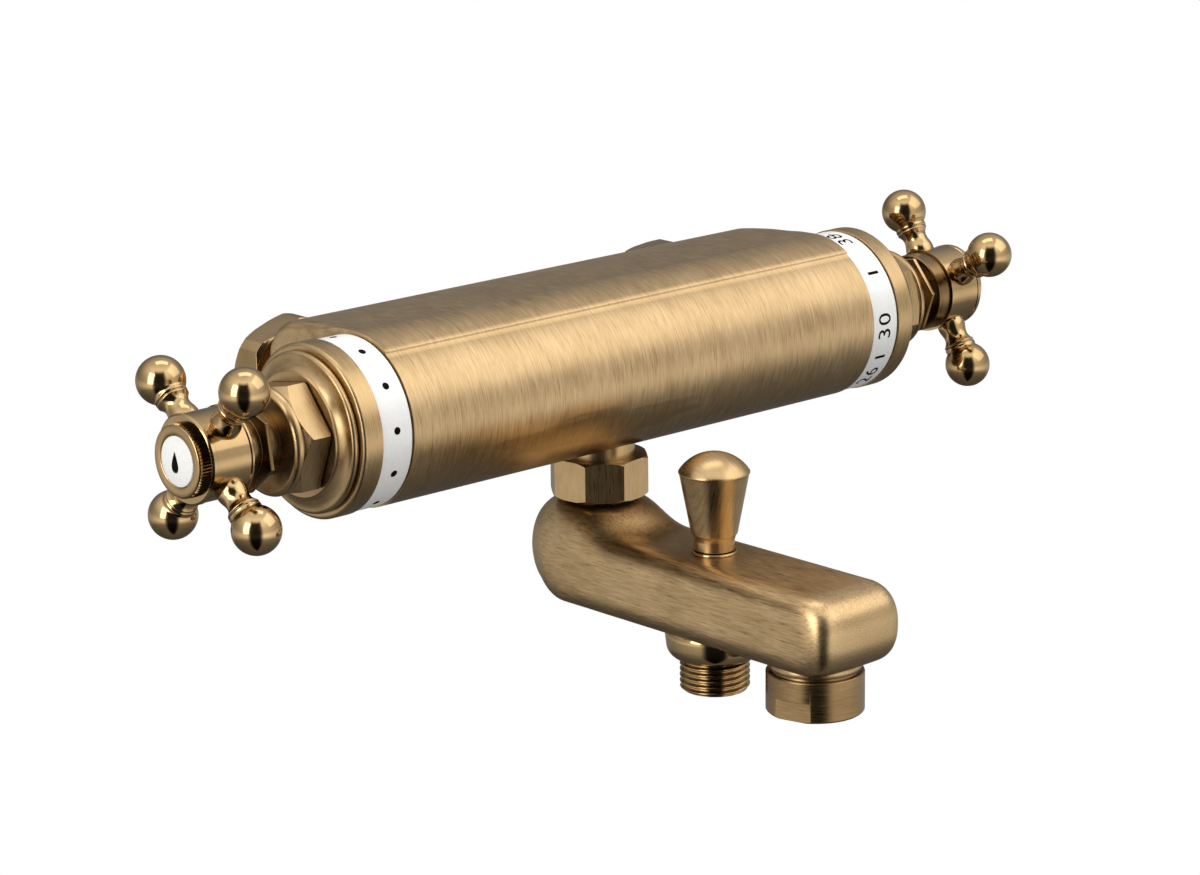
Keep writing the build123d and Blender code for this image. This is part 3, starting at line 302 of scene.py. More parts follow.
def bronze(name, strokes, light, dark, rough, rough_range, grain, fleck=0.0, dark_reflection=False):
    """Aged bronze whose strokes measure three widths in mm, along X, Y and Z."""
    material, tree = new_material(name)
    place = add_node(tree, "ShaderNodeTexCoord").outputs["Object"]
    density = [per_metre(width) for width in strokes]
    drawn = add_node(tree, "ShaderNodeMapping", {"Vector": place, "Scale": density}).outputs["Vector"]
    fine = add_node(
        tree, "ShaderNodeTexNoise", {"Vector": drawn, "Scale": 1.0, "Detail": 6.0, "Roughness": 0.65}
    ).outputs["Fac"]
    broad = add_node(
        tree, "ShaderNodeTexNoise",
        {"Vector": place, "Scale": per_metre(CLOUD), "Detail": 3.0, "Distortion": 0.6},
    ).outputs["Fac"]
    broad = add_node(tree, "ShaderNodeMath", {0: broad, 1: CLOUD_SHARE}, operation="MULTIPLY").outputs[0]
    mixed = add_node(
        tree, "ShaderNodeMath", {0: fine, 1: grain, 2: broad}, operation="MULTIPLY_ADD").outputs[0]
    middle = 0.5 * (grain + CLOUD_SHARE)
    tones = [(middle - COLOUR_SPREAD, rgb(dark)), (middle + COLOUR_SPREAD, rgb(light))]
    colour = add_node(tree, "ShaderNodeValToRGB", {"Fac": mixed}, stops=tones).outputs["Color"]
    # A painted dark reflection, as a flat patch
    if dark_reflection:
        colour = painted_dark_reflection(tree, place, colour)
    if fleck:
        spots = add_node(tree, "ShaderNodeValToRGB", {"Fac": fine}, stops=FLECK_STOPS).outputs["Color"]
        colour = add_node(
            tree, "ShaderNodeMix", {0: fleck, 6: colour, 7: spots}, data_type="RGBA", blend_type="MULTIPLY"
        ).outputs[2]
    roughness = add_node(
        tree, "ShaderNodeMapRange", {"Value": fine, "From Min": NOISE_LOW, "From Max": NOISE_HIGH,
                                     "To Min": rough, "To Max": rough + rough_range}
    ).outputs[0]
    strength = STROKE_BUMP if grain > STRONG_GRAIN else POLISHED_BUMP
    bump = add_node(
        tree, "ShaderNodeBump", {"Height": fine, "Strength": strength, "Distance": STROKE_HEIGHT}
    ).outputs["Normal"]
    shader = add_node(
        tree, "ShaderNodeBsdfPrincipled",
        {"Base Color": colour, "Metallic": 1.0, "Roughness": roughness, "Normal": bump},
    )
    add_node(tree, "ShaderNodeOutputMaterial", {"Surface": shader.outputs[0]})
    return material


print("strokes in a metre", round(per_metre(STROKE)))

# %% [markdown]
# The bronze was finished in six ways. What sets them apart for the eye is where the strokes run, how
# sharply the metal mirrors, and how much of the dark patina was left on it; two of them are darkened as
# painted shade. A stroke is drawn about 17 times as long as it is wide, so that it still reads as a stroke
# on a short piece.

# %% Bronze finishes

# Cast brass, patinated and belt brushed round the barrel: fine hoops, a satin shine, and a painted dark
# reflection low on the front
BRUSHED = bronze(
    "bronze_brushed_round", (STROKE, 6.667, 6.667), "#C9AC82", "#9B8059", 0.28, 0.12, 0.9, 0.2,
    dark_reflection=True)
# The same casting brushed along the spout: lighter streaks that follow the arm
SPOUT_BRUSHED = bronze(
    "bronze_brushed_along", (STROKE, 7.143, STROKE), "#D2B488", "#9A7E55", 0.27, 0.14, 1.0, 0.3)
# Turned brass, buffed on a mop: it mirrors the studio sharply, with a faint cloud of patina
POLISHED = bronze("bronze_polished", (2.0, 2.0, 2.0), "#C8AA7E", "#94794F", 0.09, 0.08, 0.12)
# Brass as the lathe left it: fine rings that draw each highlight out into a band
TURNED = bronze("bronze_turned", (STROKE, 6.25, 6.25), "#C7A97E", "#9B8056", 0.24, 0.12, 0.6)
# Turned brass darkened to a dull brown: painted shade for pieces in a recess
SHADE_PAINTED_BRONZE = bronze("bronze_turned_painted_shade", (STROKE, 6.25, 6.25), "#9C7F55", "#57432A", 0.22, 0.14, 0.6)
# The aerator's turned shell, with its rings round an upright axis, darkened as painted shade under the
# spout
UNDER_SPOUT_SHADE_BRONZE = bronze("bronze_turned_under_spout_shade", (6.25, 6.25, STROKE), "#A88B62", "#6F5839", 0.22, 0.14, 0.6)
print("bronze finishes", [m.name for m in (BRUSHED, SPOUT_BRUSHED, POLISHED, TURNED, SHADE_PAINTED_BRONZE, UNDER_SPOUT_SHADE_BRONZE)])

# %% [markdown]
# The other materials show little or lie inside, so one plain shader serves them all. Its mottle
# is about 1 mm across and only keeps a surface from being quite even.

# %% Plain materials
MOTTLE = 1.111          # mm
MOTTLE_HEIGHT = 0.04 * MM
MOTTLE_DARKER = 0.93


def plain(name, colour, metallic, rough, bump=0.05, coat=0.0, specular=0.5):
    """A material of one colour with a faint mottle."""
    material, tree = new_material(name)
    place = add_node(tree, "ShaderNodeTexCoord").outputs["Object"]
    mottle = add_node(
        tree, "ShaderNodeTexNoise", {"Vector": place, "Scale": per_metre(MOTTLE), "Detail": 3.0}
    ).outputs["Fac"]
    base = rgb(colour)
    tones = [(0.25, (*[v * MOTTLE_DARKER for v in base[:3]], 1)), (0.75, base)]
    shade = add_node(tree, "ShaderNodeValToRGB", {"Fac": mottle}, stops=tones).outputs["Color"]
    ridge = add_node(
        tree, "ShaderNodeBump", {"Height": mottle, "Strength": bump, "Distance": MOTTLE_HEIGHT}
    ).outputs["Normal"]
    shader = add_node(
        tree, "ShaderNodeBsdfPrincipled",
        {"Base Color": shade, "Metallic": metallic, "Roughness": rough, "Normal": ridge,
         "Coat Weight": coat, "Specular IOR Level": specular},
    )
    add_node(tree, "ShaderNodeOutputMaterial", {"Surface": shader.outputs[0]})
    return material


# Enamel sprayed on the rings and baked: even white with a soft shine
ENAMEL = plain("enamel_baked_white", "#F4F3EF", 0.0, 0.32, coat=0.2)
# Glazed porcelain discs: a warmer white under clear glass, with sharp highlights
PORCELAIN = plain("porcelain_glazed_white", "#F3F1EC", 0.0, 0.10, bump=0.01, coat=0.5)
# Black ink that was pad printed: flat, with hardly any shine
PRINT = plain("ink_printed_black", "#0B0B0B", 0.0, 0.9, specular=0.1)
# Bare turned brass of the headwork and cartridge: yellow and satin
BRASS = plain("brass_turned", "#C7A35C", 1.0, 0.28)
# Drawn or ground stainless steel of rods, springs and gauzes: a cool grey
STEEL = plain("steel_drawn", "#B9B9B6", 1.0, 0.30)
# Lapped alumina of the valve discs: cream white and smooth, yet matt
CERAMIC = plain("alumina_lapped", "#E8E5DC", 0.0, 0.25)
# Moulded EPDM rubber of seals and washers: black and matt
RUBBER = plain("rubber_moulded_black", "#1B1B1C", 0.0, 0.75)
# Moulded acetal of the valve carriers: off white with a dull sheen
PLASTIC = plain("acetal_moulded", "#D9D6CC", 0.0, 0.45)
# Drawn copper of the wax element's cup: reddish and satin
COPPER = plain("copper_drawn", "#C98B62", 1.0, 0.30)
print("enamel as linear", [round(v, 3) for v in rgb("#F4F3EF")[:3]])

# %% [markdown]
# Each solid takes the finish of its slot in the record. The pieces that were turned and not polished take
# the lathe's rings, and two darker finishes go where the photograph is darker, as painted shade.

# %% Finishes on the solids
BY_SLOT = {
    "aged_bronze_brushed": BRUSHED, "aged_bronze_polished": POLISHED, "white_enamel": ENAMEL,
    "white_porcelain": PORCELAIN, "brass": BRASS, "steel": STEEL, "ceramic": CERAMIC,
    "rubber": RUBBER, "plastic": PLASTIC, "copper": COPPER,
}
CONTROLS = ("flow", "temperature")
TURNED_NODES = [f"{control}_{piece}" for control in CONTROLS for piece in ("collar", "gland", "bonnet_nut")]
TURNED_NODES += ["outlet_nipple", "spout_nut", "diverter_knob"]
# The flow gland and the aerator shell get painted shade.
OWN_FINISH = {name: TURNED for name in TURNED_NODES} | {
    "spout_body": SPOUT_BRUSHED, "flow_gland": SHADE_PAINTED_BRONZE, "aerator_shell": UNDER_SPOUT_SHADE_BRONZE}
for name, slot in SLOTS.items():
    NODES[name].data.materials.clear()
    NODES[name].data.materials.append(OWN_FINISH.get(name, BY_SLOT[slot]))
print("materials on", len(SLOTS), "CAD nodes")

# %% [markdown]
# Worn edges catch the light. Each turned or milled piece that shows is copied, its sharp edges get a small
# bevel, and its normals follow its large faces, so that the flats stay flat. A bevel in the shader would
# look the same here, but it would leave the mesh itself sharp. The aerator's two wrench flats meet its
# round at a low angle, so there a lower angle counts as crisp.

# %% Softened copies of the solids
SHARP_ANGLE = 32
CRISP_ANGLE = {"aerator_shell": 18}
SOFT_EDGES = {"spout_nut": 0.8, "diverter_bush": 0.25, "diverter_knob": 0.25, "aerator_shell": 0.35,
              "outlet_nipple": 0.25, "hot_union_nut": 0.5, "cold_union_nut": 0.5}
CONTROL_EDGES = {"bonnet_nut": 0.45, "collar": 0.3, "gland": 0.25, "ring": 0.35, "handle_hub": 0.35,
                 "cap_disc": 0.2}
for control in CONTROLS:
    SOFT_EDGES |= {f"{control}_{piece}": width for piece, width in CONTROL_EDGES.items()}


def softened(name, width, crisp=None):
    """Stands a copy with bevelled edges, width mm wide, in for a CAD node."""
    node = NODES[name]
    shape = merged_copy(node)
    sharp = math.radians(SHARP_ANGLE)
    corners = [edge for edge in shape.edges if edge.is_manifold and edge.calc_face_angle() > sharp]
    bmesh.ops.bevel(
        shape, geom=corners, offset=width * MM, segments=2, profile=0.5, affect="EDGES",
        material=-1, clamp_overlap=True,
    )
    mesh = to_mesh(shape, f"{name}_soft")
    mesh.materials.clear()
    piece = new_object(f"{name}_soft", mesh, body_of(node)[0], node.data.materials[0])
    if crisp:
        mesh.set_sharp_from_angle(angle=math.radians(crisp))
    piece.modifiers.new("flat_faces_lead", "WEIGHTED_NORMAL").keep_sharp = bool(crisp)
    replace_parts(piece, name)


for name, width in SOFT_EDGES.items():
    softened(name, width, CRISP_ANGLE.get(name))
print("softened", len(SOFT_EDGES))

# %% [markdown]
# The body is one casting: a barrel with a block behind it that reaches back to the unions. The
# block's roof bows down towards the wall and its end edges are rounded, since a pattern with soft
# edges leaves the sand cleanly. It could be modelled from new, but then each bore would have to be
# cut again. So the solid's skin is kept, and a rule says where each of its points goes.

# %% Form of the block
BODY_END, BLOCK_REAR, BLOCK_BOTTOM = 93.25, 41.2, -24.9
ROOF_START, ROOF_Z, ROOF_FALL = 0.914, 26.184, math.tan(math.radians(2))
CORNER_R, END_R = 10.5, 2.5             # rounds along the block and at its ends
BOW, BOW_START = 0.0029, 2.0            # the roof's parabola
BORE_TOP, BOW_FULL = 10.6, 20.0         # nothing moves below the first height
FADE_START, FADE_END = 6.0, 22.0        # the rounds grow between these depths
END_FACE_SLACK = 0.01


def rounder(x, y, z):
    """Where a point of the block's skin goes, in mm, with y counted back from the barrel's axis."""
    if y < FADE_START or abs(x) > BODY_END + END_FACE_SLACK:
        return y, z
    fade = portion(y, FADE_START, FADE_END)
    arc = max(0.0, END_R - (BODY_END - abs(x)))
    sink = fade * fade * (3 - 2 * fade) * (END_R - math.sqrt(max(0.0, END_R ** 2 - arc ** 2)))
    roof = ROOF_Z - (y - ROOF_START) * ROOF_FALL
    back = max(0.0, CORNER_R - (BLOCK_REAR - y))
    rise = max(0.0, CORNER_R - (roof - z if z > 0 else z - BLOCK_BOTTOM))
    reach = math.hypot(back, rise)
    if sink and reach > CORNER_R - sink:
        shift = 1 - (CORNER_R - sink) / reach
        y -= back * shift
        z -= math.copysign(rise * shift, z)
    bow = max(0.0, BOW * (y - BOW_START) ** 2 - ROOF_FALL * (y - ROOF_START))
    return y, z - bow * portion(z, BORE_TOP, BOW_FULL)


roof_end = BLOCK_REAR - CORNER_R
flat_roof = ROOF_Z - (roof_end - ROOF_START) * ROOF_FALL
print("the roof sinks at its rear by", round(flat_roof - rounder(0, roof_end, flat_roof)[1], 2), "mm")

# %% [markdown]
# A rule can only move points that are there, and the solid has long faces with none between their
# ends. So a merged copy is sliced first: closely at both ends, and every 2 mm towards the wall.

# %% Body casting
END_SLICES, ROOF_SLICE = 6, 2
CREASE = 30
ON_PLANE = 1e-7
TINY_EDGE = 0.01 * MM
behind = AXIS_Y + FADE_START * MM

body_shape = merged_copy(NODES["mixer_body"])
slices = []
for step in range(1, END_SLICES + 1):
    inset = END_R * (1 - math.cos(math.pi / 2 * step / END_SLICES))
    slices += [((side * (BODY_END - inset) * MM, 0, 0), (1, 0, 0)) for side in (-1, 1)]
for back in range(int(FADE_START), int(BLOCK_REAR), ROOF_SLICE):
    slices.append(((0, AXIS_Y + back * MM, 0), (0, 1, 0)))
for place, across in slices:
    near = [face for face in body_shape.faces if max(v.co.y for v in face.verts) > behind]
    geometry = {*near} | {e for f in near for e in f.edges} | {v for f in near for v in f.verts}
    bmesh.ops.bisect_plane(
        body_shape, geom=list(geometry), plane_co=place, plane_no=across, dist=ON_PLANE)
for vertex in body_shape.verts:
    x, y, z = vertex.co / MM
    y, z = rounder(x, y - AXIS_Y / MM, z)
    vertex.co = (x * MM, AXIS_Y + y * MM, z * MM)
bmesh.ops.dissolve_degenerate(body_shape, dist=TINY_EDGE, edges=body_shape.edges)
body_mesh = to_mesh(body_shape, "body_casting")
body_piece = new_object("body_casting", body_mesh, "mixer", BRUSHED)
body_mesh.set_sharp_from_angle(angle=math.radians(CREASE))
even_normals = body_piece.modifiers.new("flat_faces_lead", "WEIGHTED_NORMAL")
even_normals.mode = "FACE_AREA_WITH_ANGLE"
even_normals.keep_sharp = True
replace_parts(body_piece, "mixer_body")
print("body faces", len(body_mesh.polygons))

# %% [markdown]
# A wire spring under the bush holds the diverter's rod down until the knob is pulled. It rides with the
# rod, so at the top of the pull it would run into the bush. The real spring is pressed together there; this
# copy is the solid's coil, merged and given a mesh of its own.

# %% Diverter spring
spring_mesh = to_mesh(merged_copy(NODES["diverter_spring"]), "diverter_coil")
spring = new_object("diverter_coil", spring_mesh, "diverter", STEEL, smooth=False)
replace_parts(spring, "diverter_spring")
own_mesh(spring)

# %% [markdown]
# The marks on the rings are ink, pad printed on the enamel. An image texture would need a picture
# and blur close up, so each mark is a thin face of its own. It is made flat, cut into narrow
# cells, and wrapped round the ring a hair proud of the enamel.

# %% Flat marks and how they wrap
RING_R = 25.1
PROUD = 0.03
DOT_STEPS = 32
TICK_CELLS = 8


def wrap(mesh, x_mid, angle):
    """Wraps a flat mesh in mm, x across the reading line and y up the glyph, onto a ring.

    The glyphs' tops point to -X, and they read towards falling angles.
    """
    radius = RING_R + PROUD
    for vertex in mesh.vertices:
        along, up, deep = vertex.co
        turn = math.radians(angle) - along / radius
        r = (radius + deep) * MM
        vertex.co = ((x_mid - up) * MM, AXIS_Y + r * math.cos(turn), r * math.sin(turn))
    return mesh


def tick_mark(width, height):
    """Flat strip, cut along x so that it bends cleanly."""
    shape = bmesh.new()
    bmesh.ops.create_grid(shape, x_segments=TICK_CELLS, y_segments=2, size=0.5)
    bmesh.ops.scale(shape, vec=(width, height, 1), verts=shape.verts)
    return to_mesh(shape, "tick")


def dot_mark(radius):
    """Flat disc."""
    shape = bmesh.new()
    bmesh.ops.create_circle(shape, cap_ends=True, segments=DOT_STEPS, radius=radius)
    return to_mesh(shape, "dot")


print("marks stand proud by", PROUD, "mm")

# %% [markdown]
# The ring's digits are broad and stand well apart, so a text curve with Blender's own font is
# drawn wider. As a mesh it has long thin faces, and cuts every half millimetre let it bend.

# %% Flat numbers
CAP_SHARE = 0.72        # height of a digit as a share of the font's size
NUMBER_WIDER = 1.12
NUMBER_HEAVIER = 0.004
CURVE_STEPS = 6
CUT_EVERY, CUT_REACH = 0.5, 10.0


def number_mark(text, height):
    """Flat number, centred, with the height of its digits set."""
    curve = bpy.data.curves.new("number", "FONT")
    curve.body = text
    curve.size = height / CAP_SHARE
    curve.align_x = curve.align_y = "CENTER"
    curve.space_character = NUMBER_WIDER
    curve.offset = NUMBER_HEAVIER
    curve.resolution_u = CURVE_STEPS
    holder = bpy.data.objects.new("number", curve)
    bpy.context.scene.collection.objects.link(holder)
    flat = bpy.data.meshes.new_from_object(holder.evaluated_get(bpy.context.evaluated_depsgraph_get()))
    bpy.data.objects.remove(holder)
    shape = bmesh.new()
    shape.from_mesh(flat)
    bmesh.ops.scale(shape, vec=(NUMBER_WIDER, 1, 1), verts=shape.verts)
    cuts = int(CUT_REACH / CUT_EVERY)
    for cut in range(-cuts, cuts + 1):
        geometry = shape.verts[:] + shape.edges[:] + shape.faces[:]
        place = (cut * CUT_EVERY, 0, 0)
        bmesh.ops.bisect_plane(shape, geom=geometry, plane_co=place, plane_no=(1, 0, 0))
    return to_mesh(shape, "number")


def printed(name, marks, body):
    """Joins flat marks into one printed piece."""
    shape = bmesh.new()
    for mark in marks:
        shape.from_mesh(mark)
    new_object(name, to_mesh(shape, name), body, PRINT, smooth=False)


print("cuts across a number", 2 * int(CUT_REACH / CUT_EVERY) + 1)

# %% [markdown]
# Dots run all round the flow ring, for that handle has no scale. The temperature ring reads in
# degrees Celsius. Angles are counted from the side by the wall, over the top.

# %% Marks on the rings
FLOW_RING_MID, DIAL_RING_MID = -99.1, 98.8
DOT_START, DOT_EVERY, DOT_R = 24, 30, 1.1
NUMBERS = {102: "38", 181: "30", 225: "26", 22: "46", 342: "50"}
TICKS = (141, 62, 205)
TICK_SIZE = (1.0, 4.4)
NUMBER_HEIGHT = 5.4
STOP_DOT_AT, STOP_DOT_R = 91.5, 0.55

dots = [wrap(dot_mark(DOT_R), FLOW_RING_MID, DOT_START + turn) for turn in range(0, 360, DOT_EVERY)]
printed("flow_ring_dots", dots, "flow_control")
dial = [wrap(number_mark(text, NUMBER_HEIGHT), DIAL_RING_MID, angle) for angle, text in NUMBERS.items()]
dial += [wrap(tick_mark(*TICK_SIZE), DIAL_RING_MID, angle) for angle in TICKS]
dial.append(wrap(dot_mark(STOP_DOT_R), DIAL_RING_MID, STOP_DOT_AT))
printed("temperature_ring_marks", dial, "temperature_control")
print("marks", len(dots), len(dial))

# %% [markdown]
# A water drop is printed on the flow handle's porcelain disc, to tell a hand which handle opens
# the water. It is a circle whose sides are drawn in towards the top.

# %% Drop on the flow disc
DROP_HALF_WIDTH, DROP_HALF_HEIGHT = 2.1, 3.1
DROP_STEPS = 48
DROP_PINCH = 0.8
DROP_PROUD = 0.04
disc_low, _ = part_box("flow_cap_disc")
drop_x = disc_low.x - DROP_PROUD * MM
drop_shape = bmesh.new()
bmesh.ops.create_circle(drop_shape, cap_ends=True, segments=DROP_STEPS, radius=1.0)
for vertex in drop_shape.verts:
    across, up, _ = vertex.co
    pinch = max(0.0, (1 - up) / 2) ** DROP_PINCH
    vertex.co = (drop_x, AXIS_Y - DROP_HALF_WIDTH * across * pinch * MM, DROP_HALF_HEIGHT * up * MM)
drop_mesh = to_mesh(drop_shape, "flow_disc_drop")
new_object("flow_disc_drop", drop_mesh, "flow_control", PRINT, smooth=False)
print("drop at", round(drop_x / MM, 2))

# %% [markdown]
# The shower hose screws onto a half inch thread under the spout. The solid leaves it plain to stay
# light. A screw modifier would leave ragged ends, so the thread is skinned in thin rows instead:
# the radius depends on how far round and how far down a point lies, which also lets it run out
# into the flange and be chamfered at its end. The flange above it is turned.

# %% Shower nipple with its thread
NIPPLE_Y = -109.5
NIPPLE_TOP, BORE_R = -66.0, 6.0
LIP_Z, LIP_R, LIP_DEPTH, LIP_BULGE, LIP_STEPS = -75.5, 10.2, 4.6, 4.3, 10
PITCH, CREST_R, ROOT_R = 1.814, 10.46, 9.35
ROOT_SHARE, CREST_SHARE = 0.1875, 0.8125
THREAD_TOP, THREAD_END, THREAD_ROWS, THREAD_AROUND = -80.0, -90.0, 110, 96
CHAMFER_Z, CHAMFER_SLOPE = -90.05, 1.1
RUN_OUT_Z, RUN_OUT_SLOPE = -80.4, 2.0

flange = [(NIPPLE_TOP, BORE_R), (NIPPLE_TOP, 7.95), (-70.0, 7.95), (-70.0, 14.8), (-73.1, 14.8),
          (LIP_Z, LIP_R + LIP_BULGE)]
for step in range(1, LIP_STEPS + 1):
    turn = math.pi / 2 * step / LIP_STEPS
    flange.append((LIP_Z - LIP_DEPTH * math.sin(turn), LIP_R + LIP_BULGE * math.cos(turn)))
flange.append((LIP_Z - LIP_DEPTH, 9.4))
flange_mesh = lathe("nipple_flange", [(-z, r) for z, r in flange], (0, NIPPLE_Y, 0), (0, 0, -1))


def nipple_point(row, turn):
    """Point of the thread at a height, or of the bore where the row has its radius."""
    z, radius = row
    if not radius:
        phase = ((THREAD_TOP - z) / PITCH + turn / math.tau) % 1.0
        crest = portion(1 - abs(2 * phase - 1), ROOT_SHARE, CREST_SHARE)
        chamfer = max(0.0, (z - CHAMFER_Z) * CHAMFER_SLOPE)
        run_out = max(0.0, (RUN_OUT_Z - z) * RUN_OUT_SLOPE)
        radius = ROOT_R + min((CREST_R - ROOT_R) * crest, chamfer, run_out)
    return radius * math.cos(turn), NIPPLE_Y + radius * math.sin(turn), z


drop_per_row = (THREAD_END - THREAD_TOP) / THREAD_ROWS
thread_rows = [(THREAD_TOP + drop_per_row * row, None) for row in range(THREAD_ROWS + 1)]
nipple_shape = bmesh.new()
skin(nipple_shape, thread_rows + [(THREAD_END, BORE_R), (NIPPLE_TOP, BORE_R)], THREAD_AROUND, nipple_point)
nipple_shape.from_mesh(flange_mesh)
bmesh.ops.recalc_face_normals(nipple_shape, faces=nipple_shape.faces)
nipple_mesh = to_mesh(nipple_shape, "nipple_thread")
nipple = new_object("shower_nipple_threaded", nipple_mesh, "spout", POLISHED)
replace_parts(nipple, "shower_nipple")
print("nipple faces", len(nipple_mesh.polygons))

# %% [markdown]
# Each handle has four turned arms with a waist, two fine rings and a ball to push with. A solid's
# arms are plainer, and bevels can't add rings, so the arms are spun from their outline. Radii
# count out from the barrel's axis, as in the solids.

# %% Turned arms
BALL_AT, BALL_R, NECK_R = 27.2, 7.15, 4.9
BALL_STEPS, ARM_STEPS = 32, 72
ARM_WAIST = [(11.0, 4.2), (12.4, 4.45), (13.6, 4.5), (14.6, 4.35), (15.6, 4.05), (16.6, 3.8), (17.6, 3.75),
             (18.4, 3.95), (19.1, 4.3), (19.7, 4.75)]
ARM_RINGS = [(19.9, NECK_R), (20.25, NECK_R), (20.4, 4.6), (20.6, 4.6), (20.75, 5.0), (21.3, 5.0)]

ball_foot = math.acos(-math.sqrt(1 - (NECK_R / BALL_R) ** 2))
arm_outline = ARM_WAIST + ARM_RINGS
for step in range(BALL_STEPS + 1):
    turn = ball_foot * (1 - step / BALL_STEPS)
    arm_outline.append((BALL_AT + BALL_R * math.cos(turn), BALL_R * math.sin(turn)))


def four_arms(name, plane, first_turn):
    """Four arms in one plane, a quarter turn apart."""
    shape = bmesh.new()
    for quarter in range(4):
        turn = math.radians(first_turn + 90 * quarter)
        aim = (0, math.cos(turn), math.sin(turn))
        shape.from_mesh(lathe("arm", arm_outline, (plane, AXIS_Y / MM, 0), aim, ARM_STEPS))
    return to_mesh(shape, name)


print("arm points", len(arm_outline))

# %% [markdown]
# A cap holds the porcelain disc, and its rim was rolled under a knurling wheel. That left straight
# teeth 1 mm apart. They are a ring of points pushed in by turns, as a bump would not break the
# outline. The rest of the cap is turned.

# %% Knurled caps
CAP_TEETH, TOOTH = 66, 0.6
TEETH_REAR, TEETH_FRONT = (-2.6, 10.7), (-0.25, 10.6)
CAP_CREASE = 40
CAP_OUTLINE = [(-3.2, 7.3), (-3.2, 9.7), (-0.5, 9.7), (-0.45, 10.3), (-0.1, 10.35), (0.1, 10.2), (0.2, 9.9),
               (0.2, 7.8), (0.1, 7.5), (-0.1, 7.35), (-1.2, 7.3)]


def knurl(name, face, side):
    """Zigzag cone of teeth round a cap, wider at its rear."""
    shape = bmesh.new()
    bmesh.ops.create_circle(shape, segments=2 * CAP_TEETH, radius=1.0)
    rear = shape.verts[:]
    front = [v for v in bmesh.ops.extrude_edge_only(shape, edges=shape.edges[:])["geom"]
             if isinstance(v, bmesh.types.BMVert)]
    for row, (out, radius) in ((rear, TEETH_REAR), (front, TEETH_FRONT)):
        for vertex in row:
            turn = math.atan2(vertex.co.y, vertex.co.x)
            root = round(turn / math.pi * CAP_TEETH) % 2 == 0
            r = (radius - TOOTH * root) * MM
            vertex.co = (side * (face + out) * MM, AXIS_Y + r * math.cos(turn), r * math.sin(turn))
    bmesh.ops.recalc_face_normals(shape, faces=shape.faces)
    return to_mesh(shape, name)


print("teeth on a cap", CAP_TEETH)

# %% [markdown]
# The two handles are made from the same parts, so a loop makes both. Only their places differ,
# and how far each has been turned.

# %% Handles
# Side of the barrel, plane of the arms, face of the cap, angle of the first arm, body
HANDLES = {"flow": (-1, 146.5, 157.2, 40.0, "flow_control"),
           "temperature": (1, 148.7, 159.4, 58.1, "temperature_control")}
for control, (side, arm_plane, cap_face, first_turn, body) in HANDLES.items():
    arms = four_arms(f"{control}_arms", side * arm_plane, first_turn)
    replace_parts(new_object(f"{control}_arms", arms, body, POLISHED),
                f"{control}_handle_arms")
    cap = lathe(f"{control}_cap", CAP_OUTLINE, (side * cap_face, AXIS_Y / MM, 0), (side, 0, 0))
    cap.set_sharp_from_angle(angle=math.radians(CAP_CREASE))
    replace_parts(new_object(f"{control}_cap", cap, body, POLISHED),
                f"{control}_handle_cap")
    teeth = knurl(f"{control}_cap_teeth", cap_face, side)
    new_object(f"{control}_cap_teeth", teeth, body, POLISHED, smooth=False)
print("handles", len(HANDLES))

# %% [markdown]
# A plain sleeve fills the gap behind the temperature handle's hub, where the flow handle has none. It is
# turned too, with its two edges broken, and its dark bronze is painted shade.

# %% Sleeve behind the temperature handle
SKIRT_OUTLINE = [(137.0, 9.0), (137.0, 12.0), (137.4, 12.4), (142.3, 12.4), (142.7, 12.0), (142.7, 9.0)]
skirt = lathe("temperature_skirt", SKIRT_OUTLINE, (0, AXIS_Y / MM, 0), (1, 0, 0))
skirt.set_sharp_from_angle(angle=math.radians(CAP_CREASE))
new_object("temperature_skirt", skirt, "temperature_control", SHADE_PAINTED_BRONZE)
print("sleeve faces", len(skirt.polygons))

# %% [markdown]
# The spout is a casting whose edges of 6 to 16 mm run into one another. Bevels of that size break
# down where they meet, so the skin is found another way: it lies where a blend of simple forms
# is zero. Those forms are the bulb under the nut, the arm, and the two side planes. A section is
# laid at each step along the arm, and each of its points is found by halving.

# %% Form of the spout
HALF_WIDTH, ARM_MIDDLE, ARM_HALF = 17.5, -60.0, 12.0
BULB_FLAT_R, BULB_MIDDLE, BULB_REACH, BULB_RISE = 10.2, -57.0, 11.1, 16.3
FRONT, CROWN = 112.2, 1.2
FRONT_EDGE, SIDE_EDGE, COVE, FOOT_EDGE, HEEL_EDGE = 10.0, 7.0, 9.0, 6.0, 16.0
HEEL_LENGTH = 12.0
NOSE_START, NOSE_END = 90.0, 105.0
MIDDLE_SETTLES = 30.0
SEARCH_REACH, HALVINGS = 30.0, 22


def soft_max(a, b, width):
    """The larger of two depths in mm, rounded over a width where they meet."""
    near = max(width - abs(a - b), 0.0) / width
    return max(a, b) + near * near * width / 4


def spout_depth(x, s, z):
    """How far a point in mm lies outside the spout's skin, with s out from the swivel."""
    away = max(0.0, math.hypot(x, s) - BULB_FLAT_R) / BULB_REACH
    rise = max(0.0, z - BULB_MIDDLE) / BULB_RISE
    bulb = (math.hypot(away, rise) - 1) * BULB_REACH
    bow = CROWN * ((x / HALF_WIDTH) ** 2 + ((z - ARM_MIDDLE) / ARM_HALF) ** 2)
    arm = max(soft_max(z - ARM_MIDDLE - ARM_HALF, s - FRONT + bow, FRONT_EDGE), -s)
    whole = -soft_max(-bulb, -arm, COVE)
    foot = (FOOT_EDGE + (HEEL_EDGE - FOOT_EDGE) * portion(-s, 0.0, HEEL_LENGTH)
            + (FRONT_EDGE - FOOT_EDGE) * portion(s, NOSE_START, NOSE_END))
    return soft_max(
        soft_max(whole, ARM_MIDDLE - ARM_HALF - z, foot), abs(x) - HALF_WIDTH, SIDE_EDGE)


